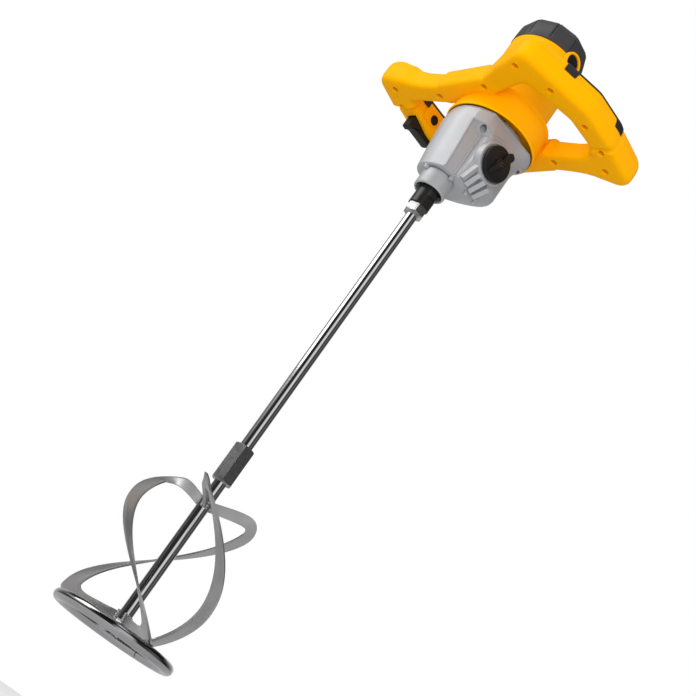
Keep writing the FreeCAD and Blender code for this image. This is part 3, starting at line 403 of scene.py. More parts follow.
# Spindle: a turned and blackened steel shaft. Its nose stands out of the collar with two milled
# flats for a spanner and a socket for the rod.
nose_low = span("spindle")[0, 2]
nose_radius = 12.85
nose_chamfer = 0.8
nose_flat = 11.0
flat_top = -9.0
nose_level = np.array([0, 0, nose_chamfer, 6.0, 12.0, 13.9, 14.1, 30.0, 45.0, 45.0]) + nose_low
nose_reach = np.array([0, nose_radius - nose_chamfer] + [nose_radius] * 7 + [0])
angle = np.linspace(0, 2 * np.pi, 241)
flats = np.where(nose_level < flat_top, nose_flat, nose_radius)
nose = np.minimum(nose_reach[:, None], flats[:, None] / np.maximum(np.abs(np.cos(angle)), 0.2))
nose_skin = np.stack([nose * np.cos(angle), nose * np.sin(angle), nose_level[:, None] + 0 * nose], -1)


def blackened(shade):
    """Blackened steel, wiped with oil."""
    wipe = shade.noise(60.0, 4.0, (1.0, 1.0, 0.3))
    return {"Base Color": shade.mix((0.012, 0.012, 0.013, 1), (0.035, 0.034, 0.033, 1), wipe),
            "Roughness": 0.22 + 0.2 * wipe,
            "Bump": (wipe, 0.00002)}


finish("black_steel", blackened, Metallic=0.4)
dress(piece("spindle_nose", nose_skin), "spindle", "black_steel", "spindle")

# Gear housing: a die casting in aluminium, shot blasted, with a flat front facet between two ribs,
# a ledge for a screw above it, a boss for the knob and a turned clamp collar below.
motor_y = 27.0
motor_axis = np.array([0.0, motor_y])
case_low = 24.5
case_high = 111.5


def rounded(corners, radii, steps=10):
    """A closed outline with its corners rounded: each corner's arc of the given radius touches both sides.
    With v0, v1 from the arc's centre to its ends and f the angle between them, its points are
    centre + (v0 sin((1 - s) f) + v1 sin(s f)) / sin f."""
    corners = np.asarray(corners, float)
    radii = np.asarray(radii, float)[:, None]
    back = np.roll(corners, 1, 0) - corners
    back /= np.linalg.norm(back, axis=1, keepdims=True)
    on = np.roll(corners, -1, 0) - corners
    on /= np.linalg.norm(on, axis=1, keepdims=True)
    angle = np.arccos(np.clip((back * on).sum(1, keepdims=True), -1, 1))
    bisector = back + on
    bisector /= np.maximum(np.linalg.norm(bisector, axis=1, keepdims=True), 1e-9)
    centre = corners + bisector * radii / np.sin(angle / 2)
    first = corners + back * radii / np.tan(angle / 2) - centre
    last = corners + on * radii / np.tan(angle / 2) - centre
    sweep = np.maximum(np.pi - angle, 1e-6)[:, :, None]
    share = np.linspace(0, 1, steps + 1)[None, :, None]
    arc = first[:, None] * np.sin((1 - share) * sweep) + last[:, None] * np.sin(share * sweep)
    outline = (centre[:, None] + arc / np.sin(sweep)).reshape(-1, 2)
    return np.concatenate([outline, outline[:1]])


# Corners of the case in plan, from the back right round by the left to the front: foot, then full width
case_foot = np.array([(28.5, 33.0), (-38.0, 44.0), (-27.0, -24.0), (3.0, -25.5), (23.0, -19.3),
                      (27.5, -4.9), (34.5, -2.5)])
case_wide = np.array([(42.0, 73.0), (-50.0, 73.0), (-35.0, -33.0), (4.0, -32.5), (22.2, -26.2),
                      (28.2, -6.6), (42.0, -4.5)])
foot_radii = np.array([27.0, 27.0, 24.0, 40.0, 1.2, 1.2, 4.0])
wide_radii = np.array([41.0, 45.0, 29.0, 40.0, 1.2, 1.2, 8.0])
straight = np.array([False, False, True, True, True, True, False])
shoulder = 48.0
side_swell = 0.35
ledge_place = 5
ledge_corner = np.array([37.5, -14.5])
ledge_round = 14.0
ledge_level = 91.5
ledge_drop = 0.55
ledge_spread = 9.0
ledge_start = 5.0
ledge_fade = 10.0
under_start, under_range = -19.0, (-7.0, 12.0)
over_start, over_range = -10.0, (-5.0, 8.0)


def case_row(level, ledge):
    """One row of the case: its outline between the foot's and the full one, with the corner over the ledge
    moved out, and the row itself lowered towards the knob near the ledge. The front widens evenly, and the
    sides widen up to the shoulder."""
    rise = np.clip((level - case_low) / (case_high - case_low), 0, 1)
    swell = np.clip((level - case_low) / (shoulder - case_low), 0, 1)
    share = np.where(straight, rise, swell * (1 + side_swell - side_swell * swell))
    corners = case_foot + (case_wide - case_foot) * share[:, None]
    radii = foot_radii + (wide_radii - foot_radii) * share
    corners[ledge_place] += (ledge_corner - corners[ledge_place]) * ledge
    radii[ledge_place] += (ledge_round - radii[ledge_place]) * ledge
    plan = rounded(corners, radii)
    under = ledge_drop * np.clip(plan[:, 1] - under_start, *under_range)
    over = ledge_drop * np.clip(plan[:, 1] - over_start, *over_range)
    lower = under + (over - under) * ledge
    lower *= np.clip((plan[:, 0] - ledge_start) / ledge_fade, 0, 1)
    lower *= np.exp(-((level - ledge_level) / ledge_spread) ** 2)
    return np.concatenate([plan, (level - lower)[:, None]], 1)


low_rows = 36
high_rows = 16
case_rows = [case_row(level, 0.0) for level in np.linspace(case_low, ledge_level, low_rows)]
case_rows += [case_row(level, 1.0) for level in np.linspace(ledge_level, case_high, high_rows)]
case_grid = np.stack(case_rows)
flange_radius = 56.0
flange_flat = 45.3
flat_lean = np.radians(11.0)
flare_start = 84.0


def flare(level):
    """How far the wall has come out to the round flange at a level: a square ease."""
    return np.clip((level - flare_start) / (case_high - flare_start), 0, 1) ** 2


def flange_reach(away):
    """Reach of the case's upper edge from the motor's axis: a circle, cut by a flat on the knob's side,
    which is d / cos(turn from the flat's middle)."""
    turn = np.arctan2(away[..., 1], away[..., 0]) + flat_lean
    return np.minimum(flange_radius, flange_flat / np.maximum(np.cos(turn), 0.1))


from_motor = case_grid[..., :2] - motor_axis
reach = np.linalg.norm(from_motor, axis=-1)
outward = (flange_reach(from_motor) / reach - 1) * flare(case_grid[..., 2])
case_grid[..., :2] += from_motor * outward[..., None]
foot_middle = np.array([0.0, 3.0])
lip_share = 0.95
lip_drop = 1.2
foot_lip = case_grid[:1].copy()
foot_lip[..., :2] = foot_middle + (foot_lip[..., :2] - foot_middle) * lip_share
foot_lip[..., 2] = case_low - lip_drop
case_skin = capped(np.concatenate([foot_lip, case_grid]))
collar_skin = turned([(0, 22.0), (19.7, 22.0), (19.7, 2.2), (19.4, 1.0), (18.7, 0.2), (18.0, 0.0),
                      (17.2, 0.3), (16.7, 1.2), (16.7, 9.0), (0, 9.0)])
knob_y = 18.0
knob_z = 63.9


def turned_across(profile, y, z, side=1, steps=128):
    """A profile of (radius, reach) rows turned about a level axis along X at (y, z), to one side of it:
    (side * reach, y + r cos a, z + r sin a)."""
    upright = turned(profile, steps=steps)
    return np.stack([side * upright[..., 2], y + upright[..., 0], z + upright[..., 1]], -1)


knob_boss = turned_across([(0, 38.0), (25.6, 38.0), (25.4, 47.2), (25.2, 47.9), (24.6, 48.3), (23.0, 48.3),
                           (22.6, 47.9), (22.3, 46.6), (0, 46.6)], knob_y, knob_z)


def rod_along(path, radius, turns=12, start=0.0):
    """A round bar along a path with closed ends: path + r (cos a, sin a) across the path's direction."""
    path = np.asarray(path, float)
    along = np.gradient(path, axis=0)
    along /= np.linalg.norm(along, axis=1, keepdims=True)
    skew = np.array([0.31, 0.17, 0.93])
    side = np.cross(along, skew)
    side /= np.linalg.norm(side, axis=1, keepdims=True)
    over = np.cross(along, side)
    angle = np.linspace(0, 2 * np.pi, turns + 1) + start
    ring = np.cos(angle)[:, None] * side[:, None] + np.sin(angle)[:, None] * over[:, None]
    skin = path[:, None] + radius * ring
    return np.concatenate([path[:1, None] + 0 * ring[:1], skin, path[-1:, None] + 0 * ring[-1:]])


left_rib = np.linspace((23.0, -19.5, 25.0), (22.4, -25.6, 94.5), 24)
right_rib = np.linspace((27.6, -5.3, 25.0), (28.2, -6.6, 84.5), 24)
ledge_rows = case_grid[[low_rows - 1, low_rows]]
rim_left, rim_back = 20.0, 4.0
on_ledge = (ledge_rows[0, :, 0] > rim_left) & (ledge_rows[0, :, 1] < rim_back)
rim_sink = 0.4
rim_radius = 0.8
left_rib_radius = 1.5
right_rib_radius = 1.6
rims = [*ledge_rows[:, on_ledge], case_grid[-1] - (0, 0, rim_sink)]
details = [collar_skin, knob_boss]
details += [rod_along(left_rib, left_rib_radius), rod_along(right_rib, right_rib_radius)]
details += [rod_along(rim, rim_radius, 8) for rim in rims]


def block(low, high, edge):
    """A box with chamfered edges, as a closed grid of square rings."""
    low, high = np.array(low, float), np.array(high, float)
    centre, reach = (low + high) / 2, (high - low) / 2
    corner = np.array([(-1, -1), (1, -1), (1, 1), (-1, 1), (-1, -1)])
    rows = [(0.0, 0.0, -reach[2]), (1.0, edge, -reach[2]), (1.0, 0.0, edge - reach[2]),
            (1.0, 0.0, reach[2] - edge), (1.0, edge, reach[2]), (0.0, 0.0, reach[2])]
    grid = [np.concatenate([centre[:2] + corner * (reach[:2] - cut) * share,
                            np.full((len(corner), 1), centre[2] + level)], 1) for share, cut, level in rows]
    return np.stack(grid)


def carve(made, *cutters, sharp=40.0):
    """Cuts closed shapes out of a piece and keeps the result as its mesh."""
    for cutter in cutters:
        change = made.modifiers.new("cut", "BOOLEAN")
        change.operation = "DIFFERENCE"
        change.solver = "EXACT"
        change.object = cutter
    bpy.context.view_layer.update()
    result = bpy.data.meshes.new_from_object(made.evaluated_get(bpy.context.evaluated_depsgraph_get()))
    made.modifiers.clear()
    made.data = result
    for cutter in cutters:
        bpy.data.objects.remove(cutter)
    result.shade_smooth()
    result.set_sharp_from_angle(angle=np.radians(sharp))
    return made


finish("cast_aluminium", grained((0.47, 0.475, 0.49), (0.41, 0.415, 0.43), (26.0, 3.0), (1100.0, 2.0),
                                 (0.40, 0.10, 0.10), 0.00008), Metallic=0.4)
fin_ends = [((36.0, 0.5, 24.0), (45.0, 4.0, 50.0)), ((34.5, 10.5, 24.0), (46.0, 12.0, 43.0)),
            ((33.0, 20.5, 24.0), (46.0, 22.0, 40.0)), ((32.0, 30.5, 24.0), (45.0, 33.0, 39.0))]
fin_radius = 4.0
fin_sides = 4
details += [rod_along(np.linspace(first, last, 8), fin_radius, fin_sides, np.pi / fin_sides)
            for first, last in fin_ends]
lug_places = [(28.0, 66.0), (-28.0, 66.0)]
lug_profile = [(0, 101.0), (4.8, 101.0), (5.6, 101.8), (5.8, 110.0), (0, 110.0)]
details += [turned(lug_profile, x, y, 48) for x, y in lug_places]
stud_places = [(-3.5, -20.8), (22.6, -2.0), (29.5, 22.0), (31.0, 38.0)]
stud_profile = [(0, 30.0), (3.2, 30.0), (3.0, 19.6), (2.4, 18.8), (0, 18.8)]
details += [turned(stud_profile, x, y, 32) for x, y in stud_places]
arc_turn = np.linspace(np.radians(-35.0), np.radians(28.0), 30)
arc_reaches = (29.0, 32.5)
arc_radius = 0.7


def on_wall(y, z):
    """Points on the flat side wall, which leans out to the flange."""
    away = np.stack([case_wide[0, 0] + 0 * y, y - motor_y], -1)
    outward = (flange_reach(away) / np.linalg.norm(away, axis=-1) - 1) * flare(z)
    return np.stack([away[:, 0] * (1 + outward), y, z], -1)


for arc in arc_reaches:
    path = on_wall(knob_y + arc * np.sin(arc_turn), knob_z + arc * np.cos(arc_turn))
    details.append(rod_along(path, arc_radius, 8))
case_hole_profile = [(0, 70.0), (4.4, 70.0), (4.4, 109.0), (0, 109.0)]
case_hole = piece("case_hole", turned(case_hole_profile, 31.7, -12.0, 40))
case_slot = piece("case_slot", block((40.0, 49.5, 84.0), (52.0, 56.5, 87.5), 0.3))
gear_case = carve(piece("gear_case", case_skin, sharp=35.0), case_hole, case_slot)
dress(gear_case, "housing", "cast_aluminium", "gear_housing")
dress(piece("gear_case_details", *details, sharp=35.0), "housing", "cast_aluminium")

# Case screws and cover plate: four socket screws, two of them in lugs at the back, hold the case to the
# motor through a cast plate that closes the gears off.
case_screw_places = [*lug_places, (28.0, -12.0), (-28.0, -12.0)]
case_head = [(0, 106.0), (3.8, 106.0), (3.8, 100.2), (3.3, 99.6), (2.2, 99.6), (2.0, 101.6), (0, 101.6)]
plate_profile = [(0, 111.6), (43.4, 111.6), (44.0, 112.2), (44.0, 116.4), (43.4, 117.0), (40.0, 117.2),
                 (40.0, 120.0), (0, 120.0)]


def screw_metal(shade):
    """Dark plated steel with faint clouds."""
    cloud = shade.noise(300.0, 3.0)
    return {"Base Color": shade.mix((0.16, 0.16, 0.165, 1), (0.07, 0.07, 0.075, 1), cloud),
            "Roughness": 0.25 + 0.2 * cloud}


finish("screw_steel", screw_metal, Metallic=1.0)
heads = [turned(case_head, x, y, 32) for x, y in case_screw_places]
dress(piece("gear_case_screw_heads", *heads), "housing", "screw_steel", "gear_case_screws")
plate = piece("gear_case_plate", turned(plate_profile, 0.0, motor_y))
dress(plate, "housing", "cast_aluminium", "gear_case_cover")

# Selector knob: moulded in black plastic, a flat disc with a raised key-shaped bar, held by a
# screw in its middle. The bar points at the speed.
knob_turn = np.radians(23.0)
knob_face = 53.0
pointer_face = 58.8
eye_face = 57.4
disc_profile = [(0, 48.5), (20.8, 48.5), (21.3, 49.1), (21.3, 53.0), (20.6, 53.8), (19.6, 54.0), (0, 54.0)]
screw_profile = [(0, 56.0), (3.0, 56.0), (3.0, 58.6), (2.4, 59.2), (1.3, 59.3), (1.1, 58.2), (0, 58.2)]


def raised(plan, low, high, edge, rims=6):
    """An outline drawn out from low to high with rounded rims. A row at angle a of a rim is the
    outline moved inwards by edge * (1 - sin a), and edge * (1 - cos a) from the end."""
    around = np.roll(plan[:-1], -1, 0) - np.roll(plan[:-1], 1, 0)
    inward = np.stack([-around[:, 1], around[:, 0]], 1) / np.linalg.norm(around, axis=1, keepdims=True)
    turn_sign = np.sign((plan[:-1, 0] * plan[1:, 1] - plan[1:, 0] * plan[:-1, 1]).sum())
    inward = turn_sign * np.concatenate([inward, inward[:1]])
    angle = np.linspace(0, np.pi / 2, rims)
    inset = np.concatenate([edge * (1 - np.sin(angle)), edge * (1 - np.sin(angle[::-1]))])
    level = np.concatenate([low + edge * (1 - np.cos(angle)), high - edge * (1 - np.cos(angle[::-1]))])
    rows = plan + inset[:, None, None] * inward
    skin = np.concatenate([rows, level[:, None, None] + 0 * rows[..., :1]], -1)
    return capped(skin)


def on_knob(plan, low, high, edge):
    """A raised outline in the knob's own plane, given along and across its bar."""
    along, across, level = np.moveaxis(raised(np.asarray(plan, float), low, high, edge), -1, 0)
    return np.stack([level, knob_y + along * np.sin(knob_turn) - across * np.cos(knob_turn),
                     knob_z + along * np.cos(knob_turn) + across * np.sin(knob_turn)], -1)


pointer = rounded([(-19.0, 2.2), (-19.0, -2.2), (-3.0, -3.2), (9.0, -3.6), (15.0, -5.2), (23.4, -4.6),
                   (23.4, 4.6), (15.0, 5.2), (9.0, 3.6), (-3.0, 3.2)],
                  [1.5, 1.5, 3, 4, 2, 3.5, 3.5, 2, 4, 3], 6)
knob_eye = rounded([(6.6, 6.6), (-6.6, 6.6), (-6.6, -6.6), (6.6, -6.6)], [6.5] * 4, 12)
finish("black_plastic", grained((0.007, 0.007, 0.008), (0.016, 0.016, 0.017), (40.0, 3.0), (1500.0, 2.0),
                                (0.34, 0.14, 0.08), 0.00005), Specular_IOR_Level=0.22)
knob = piece("selector_knob_moulding", turned_across(disc_profile, knob_y, knob_z, steps=160),
             on_knob(pointer, knob_face, pointer_face, 1.2), on_knob(knob_eye, knob_face, eye_face, 1.0))
dress(knob, "selector", "black_plastic", "selector_knob")
screw_head = piece("knob_screw_head", turned_across(screw_profile, knob_y, knob_z, steps=40))
dress(screw_head, "selector", "screw_steel", "knob_screw")

# Motor housing: one moulding in yellow plastic with a skirt over the gear case, a bead round its upper
# edge, a shoulder, the barrel and an arched boss for each carbon brush, closed by a black screwed cap.
skirt_profile = [
    (0, 124.0), (56.4, 124.0), (57.0, 114.6), (57.4, 113.4), (58.1, 113.0), (58.9, 113.3), (59.3, 114.2),
    (59.3, 116.2), (58.6, 117.2), (58.0, 118.6), (57.8, 146.8), (58.4, 147.4), (59.2, 148.0), (59.5, 149.0),
    (59.2, 150.2), (58.4, 150.8), (57.2, 151.0), (56.0, 151.2), (47.5, 157.5), (46.4, 158.6), (46.0, 160.0),
    (46.0, 244.4), (45.4, 245.0), (0, 245.0)]
boss_profile = [(0, 36.0), (14.0, 36.0), (14.0, 48.6), (13.6, 49.6), (12.8, 50.0), (11.6, 49.8),
                (11.0, 49.0), (11.0, 44.0), (0, 44.0)]
cap_profile = [(0, 40.0), (10.5, 40.0), (10.5, 47.4), (9.8, 48.2), (8.6, 48.4), (8.0, 47.6), (0, 47.2)]
brush_z = 240.5
bosses, caps = ([turned_across(profile, motor_y, brush_z, side, 96) for side in (-1, 1)]
                for profile in (boss_profile, cap_profile))
finish("yellow_plastic", grained((1.0, 0.45, 0.0), (0.97, 0.42, 0.0), (14.0, 3.0), (1300.0, 2.0),
                                 (0.40, 0.08, 0.08), 0.00005), Specular_IOR_Level=0.03)
motor = piece("motor_moulding", turned(skirt_profile, 0.0, motor_y, 192), *bosses)
dress(motor, "housing", "yellow_plastic", "motor_housing")
dress(piece("brush_cap_pair", *caps), "housing", "black_plastic", "brush_caps")

# Rear cover: a cap moulded in charcoal plastic, with flat panels between grooves and a stepped,
# rounded crown, clipped over the barrel's neck.
cover_radius = 46.8
panel_count = 10
panel_start = np.radians(-87.0)
panel_reach = 0.965
panel_low = 247.0
panel_rise = 4.0
groove_width = 0.016
groove_depth = 0.035
cover_rows = np.array([
    (245.0, 0), (245.0, 0.99), (246.0, 1.0), (250.0, 1.0), (258.0, 0.995), (266.0, 0.985), (269.0, 0.975),
    (272.0, 0.955), (274.5, 0.925), (276.6, 0.885), (278.0, 0.835), (278.8, 0.78), (279.0, 0.72), (279.0, 0)])
cover_level, cover_share = cover_rows.T[..., None]
angle = np.linspace(0, 2 * np.pi, 721)
panel = np.mod(angle - panel_start, 2 * np.pi / panel_count) - np.pi / panel_count
flat_share = np.minimum(panel_reach / np.cos(panel), 1.0)
groove = np.exp(-((np.abs(panel) - np.pi / panel_count) / groove_width) ** 2)
flat_weight = np.clip((cover_level - panel_low) / panel_rise, 0, 1)
radius = cover_radius * cover_share * (1 + flat_weight * (flat_share - 1))
radius = radius * (1 - groove_depth * groove * flat_weight)
cover_skin = np.stack([radius * np.cos(angle), motor_y + radius * np.sin(angle),
                       cover_level + 0 * radius], -1)
finish("charcoal_plastic", grained((0.050, 0.050, 0.053), (0.036, 0.036, 0.038), (30.0, 3.0), (1500.0, 2.0),
                                   (0.40, 0.10, 0.08), 0.00006))
dress(piece("rear_cap", cover_skin, sharp=22.0), "housing", "charcoal_plastic", "rear_cover")

# Handle frame: two mouldings in yellow plastic that meet just above the middle of the loop, screwed
# together from below. Rails run past the motor and two grips close the loop at its ends.
split = 155.5
joint_gap = 0.15
frame_bottom = 130.5
frame_top = 169.5
rail_top = 159.5
pad_top = 162.8
step_sink = 0.6
step_bottom = 132.5
top_power = 2.7
low_power = 5.2
loop_steps = 8
row_gap = 1.6
# Corners of the loop round the motor's axis: x, y, half width, inner round, outer round, top
loop = np.array([
    (-126.0, -66.0, 21.0, 9.0, 13.0, frame_top), (-112.0, -64.0, 19.0, 8.0, 8.0, 166.0),
    (-99.0, -62.0, 15.2, 8.0, 8.0, 161.0), (-84.0, -59.7, 13.8, 8.0, 8.0, rail_top),
    (-51.0, -55.5, 13.5, 4.0, 4.0, rail_top), (-45.0, -56.0, 16.0, 3.0, 3.0, pad_top),
    (17.0, -61.5, 16.0, 3.0, 3.0, pad_top), (26.0, -63.8, 12.4, 3.0, 4.0, rail_top),
    (62.0, -78.0, 17.0, 14.0, 14.0, 167.5), (94.0, -87.6, 20.0, 14.0, 19.0, frame_top),
    (131.0, -15.0, 17.0, 30.0, 30.0, frame_top), (135.6, 28.0, 16.0, 20.0, 20.0, frame_top),
    (133.2, 39.0, 16.7, 2.0, 2.0, frame_top - step_sink), (131.8, 44.5, 18.4, 1.5, 1.5, frame_top)])
corner_count = len(loop)
bottom_column = loop.shape[1]
loop = np.column_stack([loop, np.full(corner_count, frame_bottom)])
loop[-2, bottom_column] = step_bottom
# The other half is the same, half a turn on, but the right bulb is a little larger and the underside of
# the left grip rises beside its bulb
loop = np.concatenate([loop, loop * np.array([-1, -1, 1, 1, 1, 1, 1])])
loop[corner_count, :3] += (1.5, 3.5, 0.5)
loop[[-2, -3], bottom_column] = (140.0, 135.5)


def offset_outline(side):
    """The loop's outer or inner outline: each bar's side line touches the circles at its two corners, and the
    lines meet in mitred corners, which are then rounded."""
    place, half = loop[:, :2], loop[:, 2:3] * side
    along = np.roll(place, -1, 0) - place
    length = np.linalg.norm(along, axis=1, keepdims=True)
    along /= length
    slope = (half - np.roll(half, -1, 0)) / length
    out = np.stack([along[:, 1], -along[:, 0]], 1)
    normal = along * slope + out * np.sqrt(1 - slope ** 2)
    reach = (normal * place).sum(1, keepdims=True) + half
    before, reach_before = np.roll(normal, 1, 0), np.roll(reach, 1, 0)
    cross = before[:, :1] * normal[:, 1:] - before[:, 1:] * normal[:, :1]
    corner = np.concatenate([reach_before * normal[:, 1:] - reach * before[:, 1:],
                             before[:, :1] * reach - normal[:, :1] * reach_before], 1) / cross
    return rounded(corner, loop[:, 4 if side > 0 else 3], loop_steps)


outer = offset_outline(1.0)
inner = offset_outline(-1.0)
stretch = np.linalg.norm(np.diff((outer + inner) / 2, axis=0), axis=1)
measured = np.concatenate([[0.0], np.cumsum(np.maximum(stretch, 1e-6))])
stations = np.unique(np.concatenate([measured, np.arange(0, measured[-1], row_gap)]))


def along_loop(columns):
    """Columns given at the loop's own points, taken to the closer rows along it."""
    return np.stack([np.interp(stations, measured, column) for column in np.asarray(columns).T], 1)


outer, inner = along_loop(outer), along_loop(inner)
levels = np.repeat(loop[:, 5:], loop_steps + 1, 0)
tops, bottoms = along_loop(np.concatenate([levels, levels[:1]])).T
loop_middle = (outer + inner) / 2
loop_half = (outer - inner) / 2
middle = (tops + bottoms) / 2
half_rise = (tops - bottoms) / 2


def frame_skin(rows, turn, grow=0.0):
    """The bars' section at the loop's rows: a superellipse, fuller below than above.
    Across it is cos(t) ** (2 / n) and upwards sin(t) ** (2 / n)."""
    power = np.where(np.sin(turn) > 0, top_power, low_power)
    across = np.sign(np.cos(turn)) * np.abs(np.cos(turn)) ** (2 / power)
    rise = np.sign(np.sin(turn)) * np.abs(np.sin(turn)) ** (2 / power)
    size = np.linalg.norm(loop_half[rows], axis=1)
    half_side = loop_half[rows] * (1 + grow / size)[:, None]
    plan = loop_middle[rows][:, None] + half_side[:, None] * across[..., None]
    level = middle[rows][:, None] + (half_rise[rows] + grow)[:, None] * rise
    return np.concatenate([plan + motor_axis, level[..., None]], -1)


def turn_at(level, rows):
    """The turn t at which the section's side reaches a level: sin(t) ** (2 / n) is its share of the rise."""
    share = np.clip((level - middle[rows]) / half_rise[rows], 0, 1)
    return np.arcsin(share ** (top_power / 2))[:, None]


every_row = np.arange(len(outer))
split_turn = turn_at(split, every_row)
upper_skin = frame_skin(every_row, split_turn + (np.pi - 2 * split_turn) * np.linspace(0, 1, 41))
upper_skin = np.concatenate([upper_skin, upper_skin[:, :1]], 1)
lower_skin = frame_skin(every_row, split_turn - (np.pi + 2 * split_turn) * np.linspace(0, 1, 61))
lower_skin = np.concatenate([lower_skin, lower_skin[:, :1]], 1)
lower_skin[..., 2] = np.minimum(lower_skin[..., 2], split - joint_gap)
upper_shell = piece("frame_upper_moulding", upper_skin, sharp=40.0)
lower_shell = piece("frame_lower_moulding", lower_skin, sharp=40.0)
half_places = np.array([(124.2, 69.3), (133.0, 40.5), (56.7, 54.9), (21.6, -65.7), (85.1, -92.7),
                        (113.4, -54.9)])
screw_places = np.concatenate([half_places, -half_places, [(131.6, 0.0)]]) + motor_axis
nearest = np.linalg.norm(loop_middle + motor_axis - screw_places[:, None], axis=-1).argmin(1)
screw_lift = bottoms[nearest] - frame_bottom


def at_screws(profile, steps):
    """A profile turned about each frame screw's axis, lifted with the underside of the frame."""
    return [turned(np.asarray(profile) + (0, lift), x, y, steps)
            for (x, y), lift in zip(screw_places, screw_lift)]


hole_profile = [(0, 120.0), (4.6, 120.0), (4.6, 130.9), (3.8, 131.6), (3.8, 136.0), (0, 136.0)]
holes = piece("screw_holes", *at_screws(hole_profile, 40))
grip_x = -133.0
mouth_half = 7.9
mouth_low, mouth_high = (grip_x - mouth_half, 4.6, 100.0), (grip_x + mouth_half, 57.0, 143.0)
mouth = piece("trigger_mouth", block(mouth_low, mouth_high, 0.6))
lock_y, lock_z = 25.0, 147.0
lock_bore = 6.4
bore_end = -105.0


def lock_cutter(name, start):
    """A round cutter on the lock button's axis, from a start inside the grip out past its inner side."""
    profile = [(0, start), (lock_bore, start), (lock_bore, bore_end), (0, bore_end)]
    return piece(name, turned_across(profile, lock_y, lock_z, steps=64))


lock_hole = lock_cutter("lock_hole", -124.0)
carve(lower_shell, holes, mouth, lock_hole)
dress(upper_shell, "housing", "yellow_plastic", "frame_upper_shell")
dress(lower_shell, "housing", "yellow_plastic", "frame_lower_shell")

# Frame screws: recessed pan heads in dark plated steel. They are driven from below, through the lower
# moulding into the upper one.
head_profile = [(0, 138.0), (3.6, 138.0), (3.7, 137.0), (3.5, 136.2), (2.6, 135.7), (1.5, 135.6),
                (1.3, 137.0), (0, 137.0)]
heads = piece("frame_screw_heads", *at_screws(head_profile, 32))
dress(heads, "housing", "screw_steel", "frame_screws")

# Grip inserts: soft pads of black rubber, moulded over the tops of the two grips. Each one shows as a
# thin line along the side and comes further down in a tab at either end.
insert_thickness = 0.8
insert_sink = 0.5
grip_start = 90.0
tab_length = 17.0
line_level = 162.6
tab_level = 152.6
finish("grip_rubber", grained((0.014, 0.014, 0.015), (0.026, 0.026, 0.027), (60.0, 3.0), (1200.0, 3.0),
                              (0.55, 0.2, 0.0), 0.0001))
for node, side in (("grip_insert_right", 1), ("grip_insert_left", -1)):
    insert_low, insert_high = span(node)[:, 1]
    place = outer + motor_axis
    outward = place[:, 0] * side
    rows = every_row[(outward > grip_start) & (place[:, 1] > insert_low) & (place[:, 1] < insert_high)]
    rows = rows[np.argsort((rows - every_row[outward < -grip_start].max()) % len(every_row))]
    from_end = np.minimum(place[rows, 1] - insert_low, insert_high - place[rows, 1])
    start = turn_at(np.where(from_end < tab_length, tab_level, line_level), rows)
    over = start + (np.pi - 2 * start) * np.linspace(0, 1, 33)
    outside = frame_skin(rows, over, grow=insert_thickness)
    inside = frame_skin(rows, over[:, ::-1], grow=-insert_sink)
    skin = capped(np.concatenate([outside, inside, outside[:, :1]], 1))
    dress(piece(node + "_pad", skin, sharp=50.0), "housing", "grip_rubber", node)

# Trigger: moulded in black plastic, under the left grip. It hangs on a pin at one end and has a
# lip at the other, where the finger pulls.
trigger_half = 7.4
trigger_edge = 1.4
trigger_side = rounded([(6.6, 119.8), (13.6, 119.6), (17.0, 123.4), (50.0, 125.0), (54.2, 127.5),
                        (54.2, 139.3), (6.6, 139.3)], [2.0, 1.6, 4.0, 4.0, 2.0, 1.5, 1.5], 8)
trigger_skin = raised(trigger_side, grip_x - trigger_half, grip_x + trigger_half, trigger_edge)
dress(piece("trigger_moulding", trigger_skin[..., [2, 0, 1]]), "trigger", "black_plastic", "trigger")

# Lock button: a black plastic button on the inner side of the left grip. It slides in a hole through a
# raised yellow pad, inside a rim that keeps it from being pressed by chance.
button_profile = [(0, -120.6), (5.9, -120.6), (5.9, -114.2), (5.5, -113.5), (4.8, -113.3), (3.6, -113.6),
                  (0, -113.8)]
rim_profile = [(lock_bore, -121.0), (8.2, -121.0), (8.4, -115.0), (8.0, -114.2), (7.2, -114.0), (6.5, -114.5),
               (lock_bore, -121.0)]
pad_side = rounded([(9.0, 138.5), (41.0, 138.5), (44.0, 150.0), (36.0, 158.0), (14.0, 158.0), (6.0, 150.0)],
                   [4.0] * 6, 6)
pad_skin = raised(pad_side, -122.0, -115.4, 0.8)[..., [2, 0, 1]]
button, rim = (turned_across(profile, lock_y, lock_z, steps=64) for profile in (button_profile, rim_profile))
dress(piece("lock_button_moulding", button), "lock_button", "black_plastic", "lock_button")
lock_pad = carve(piece("lock_pad", pad_skin), lock_cutter("pad_hole", -126.0))
dress(lock_pad, "housing", "yellow_plastic")
dress(piece("lock_rim", rim), "housing", "yellow_plastic")

# Cord inlet: a short bush moulded in black rubber with a flange. It sits in a hole of the frame's lower
# moulding, in the corner behind the trigger grip.
inlet_low, inlet_high = span("cord_inlet")
inlet_x, inlet_z = (inlet_low[0] + inlet_high[0]) / 2, (inlet_low[2] + inlet_high[2]) / 2
bush = turned([(4.5, inlet_low[1]), (7.4, inlet_low[1]), (7.4, 133.0), (9.4, 133.2), (9.4, 136.6),
               (8.8, 137.3), (6.0, 137.4), (4.9, 137.0), (4.5, 136.0), (4.5, inlet_low[1])], steps=72)
bush = np.stack([inlet_x + bush[..., 0], bush[..., 2], inlet_z + bush[..., 1]], -1)
dress(piece("cord_bush", bush), "housing", "grip_rubber", "cord_inlet")

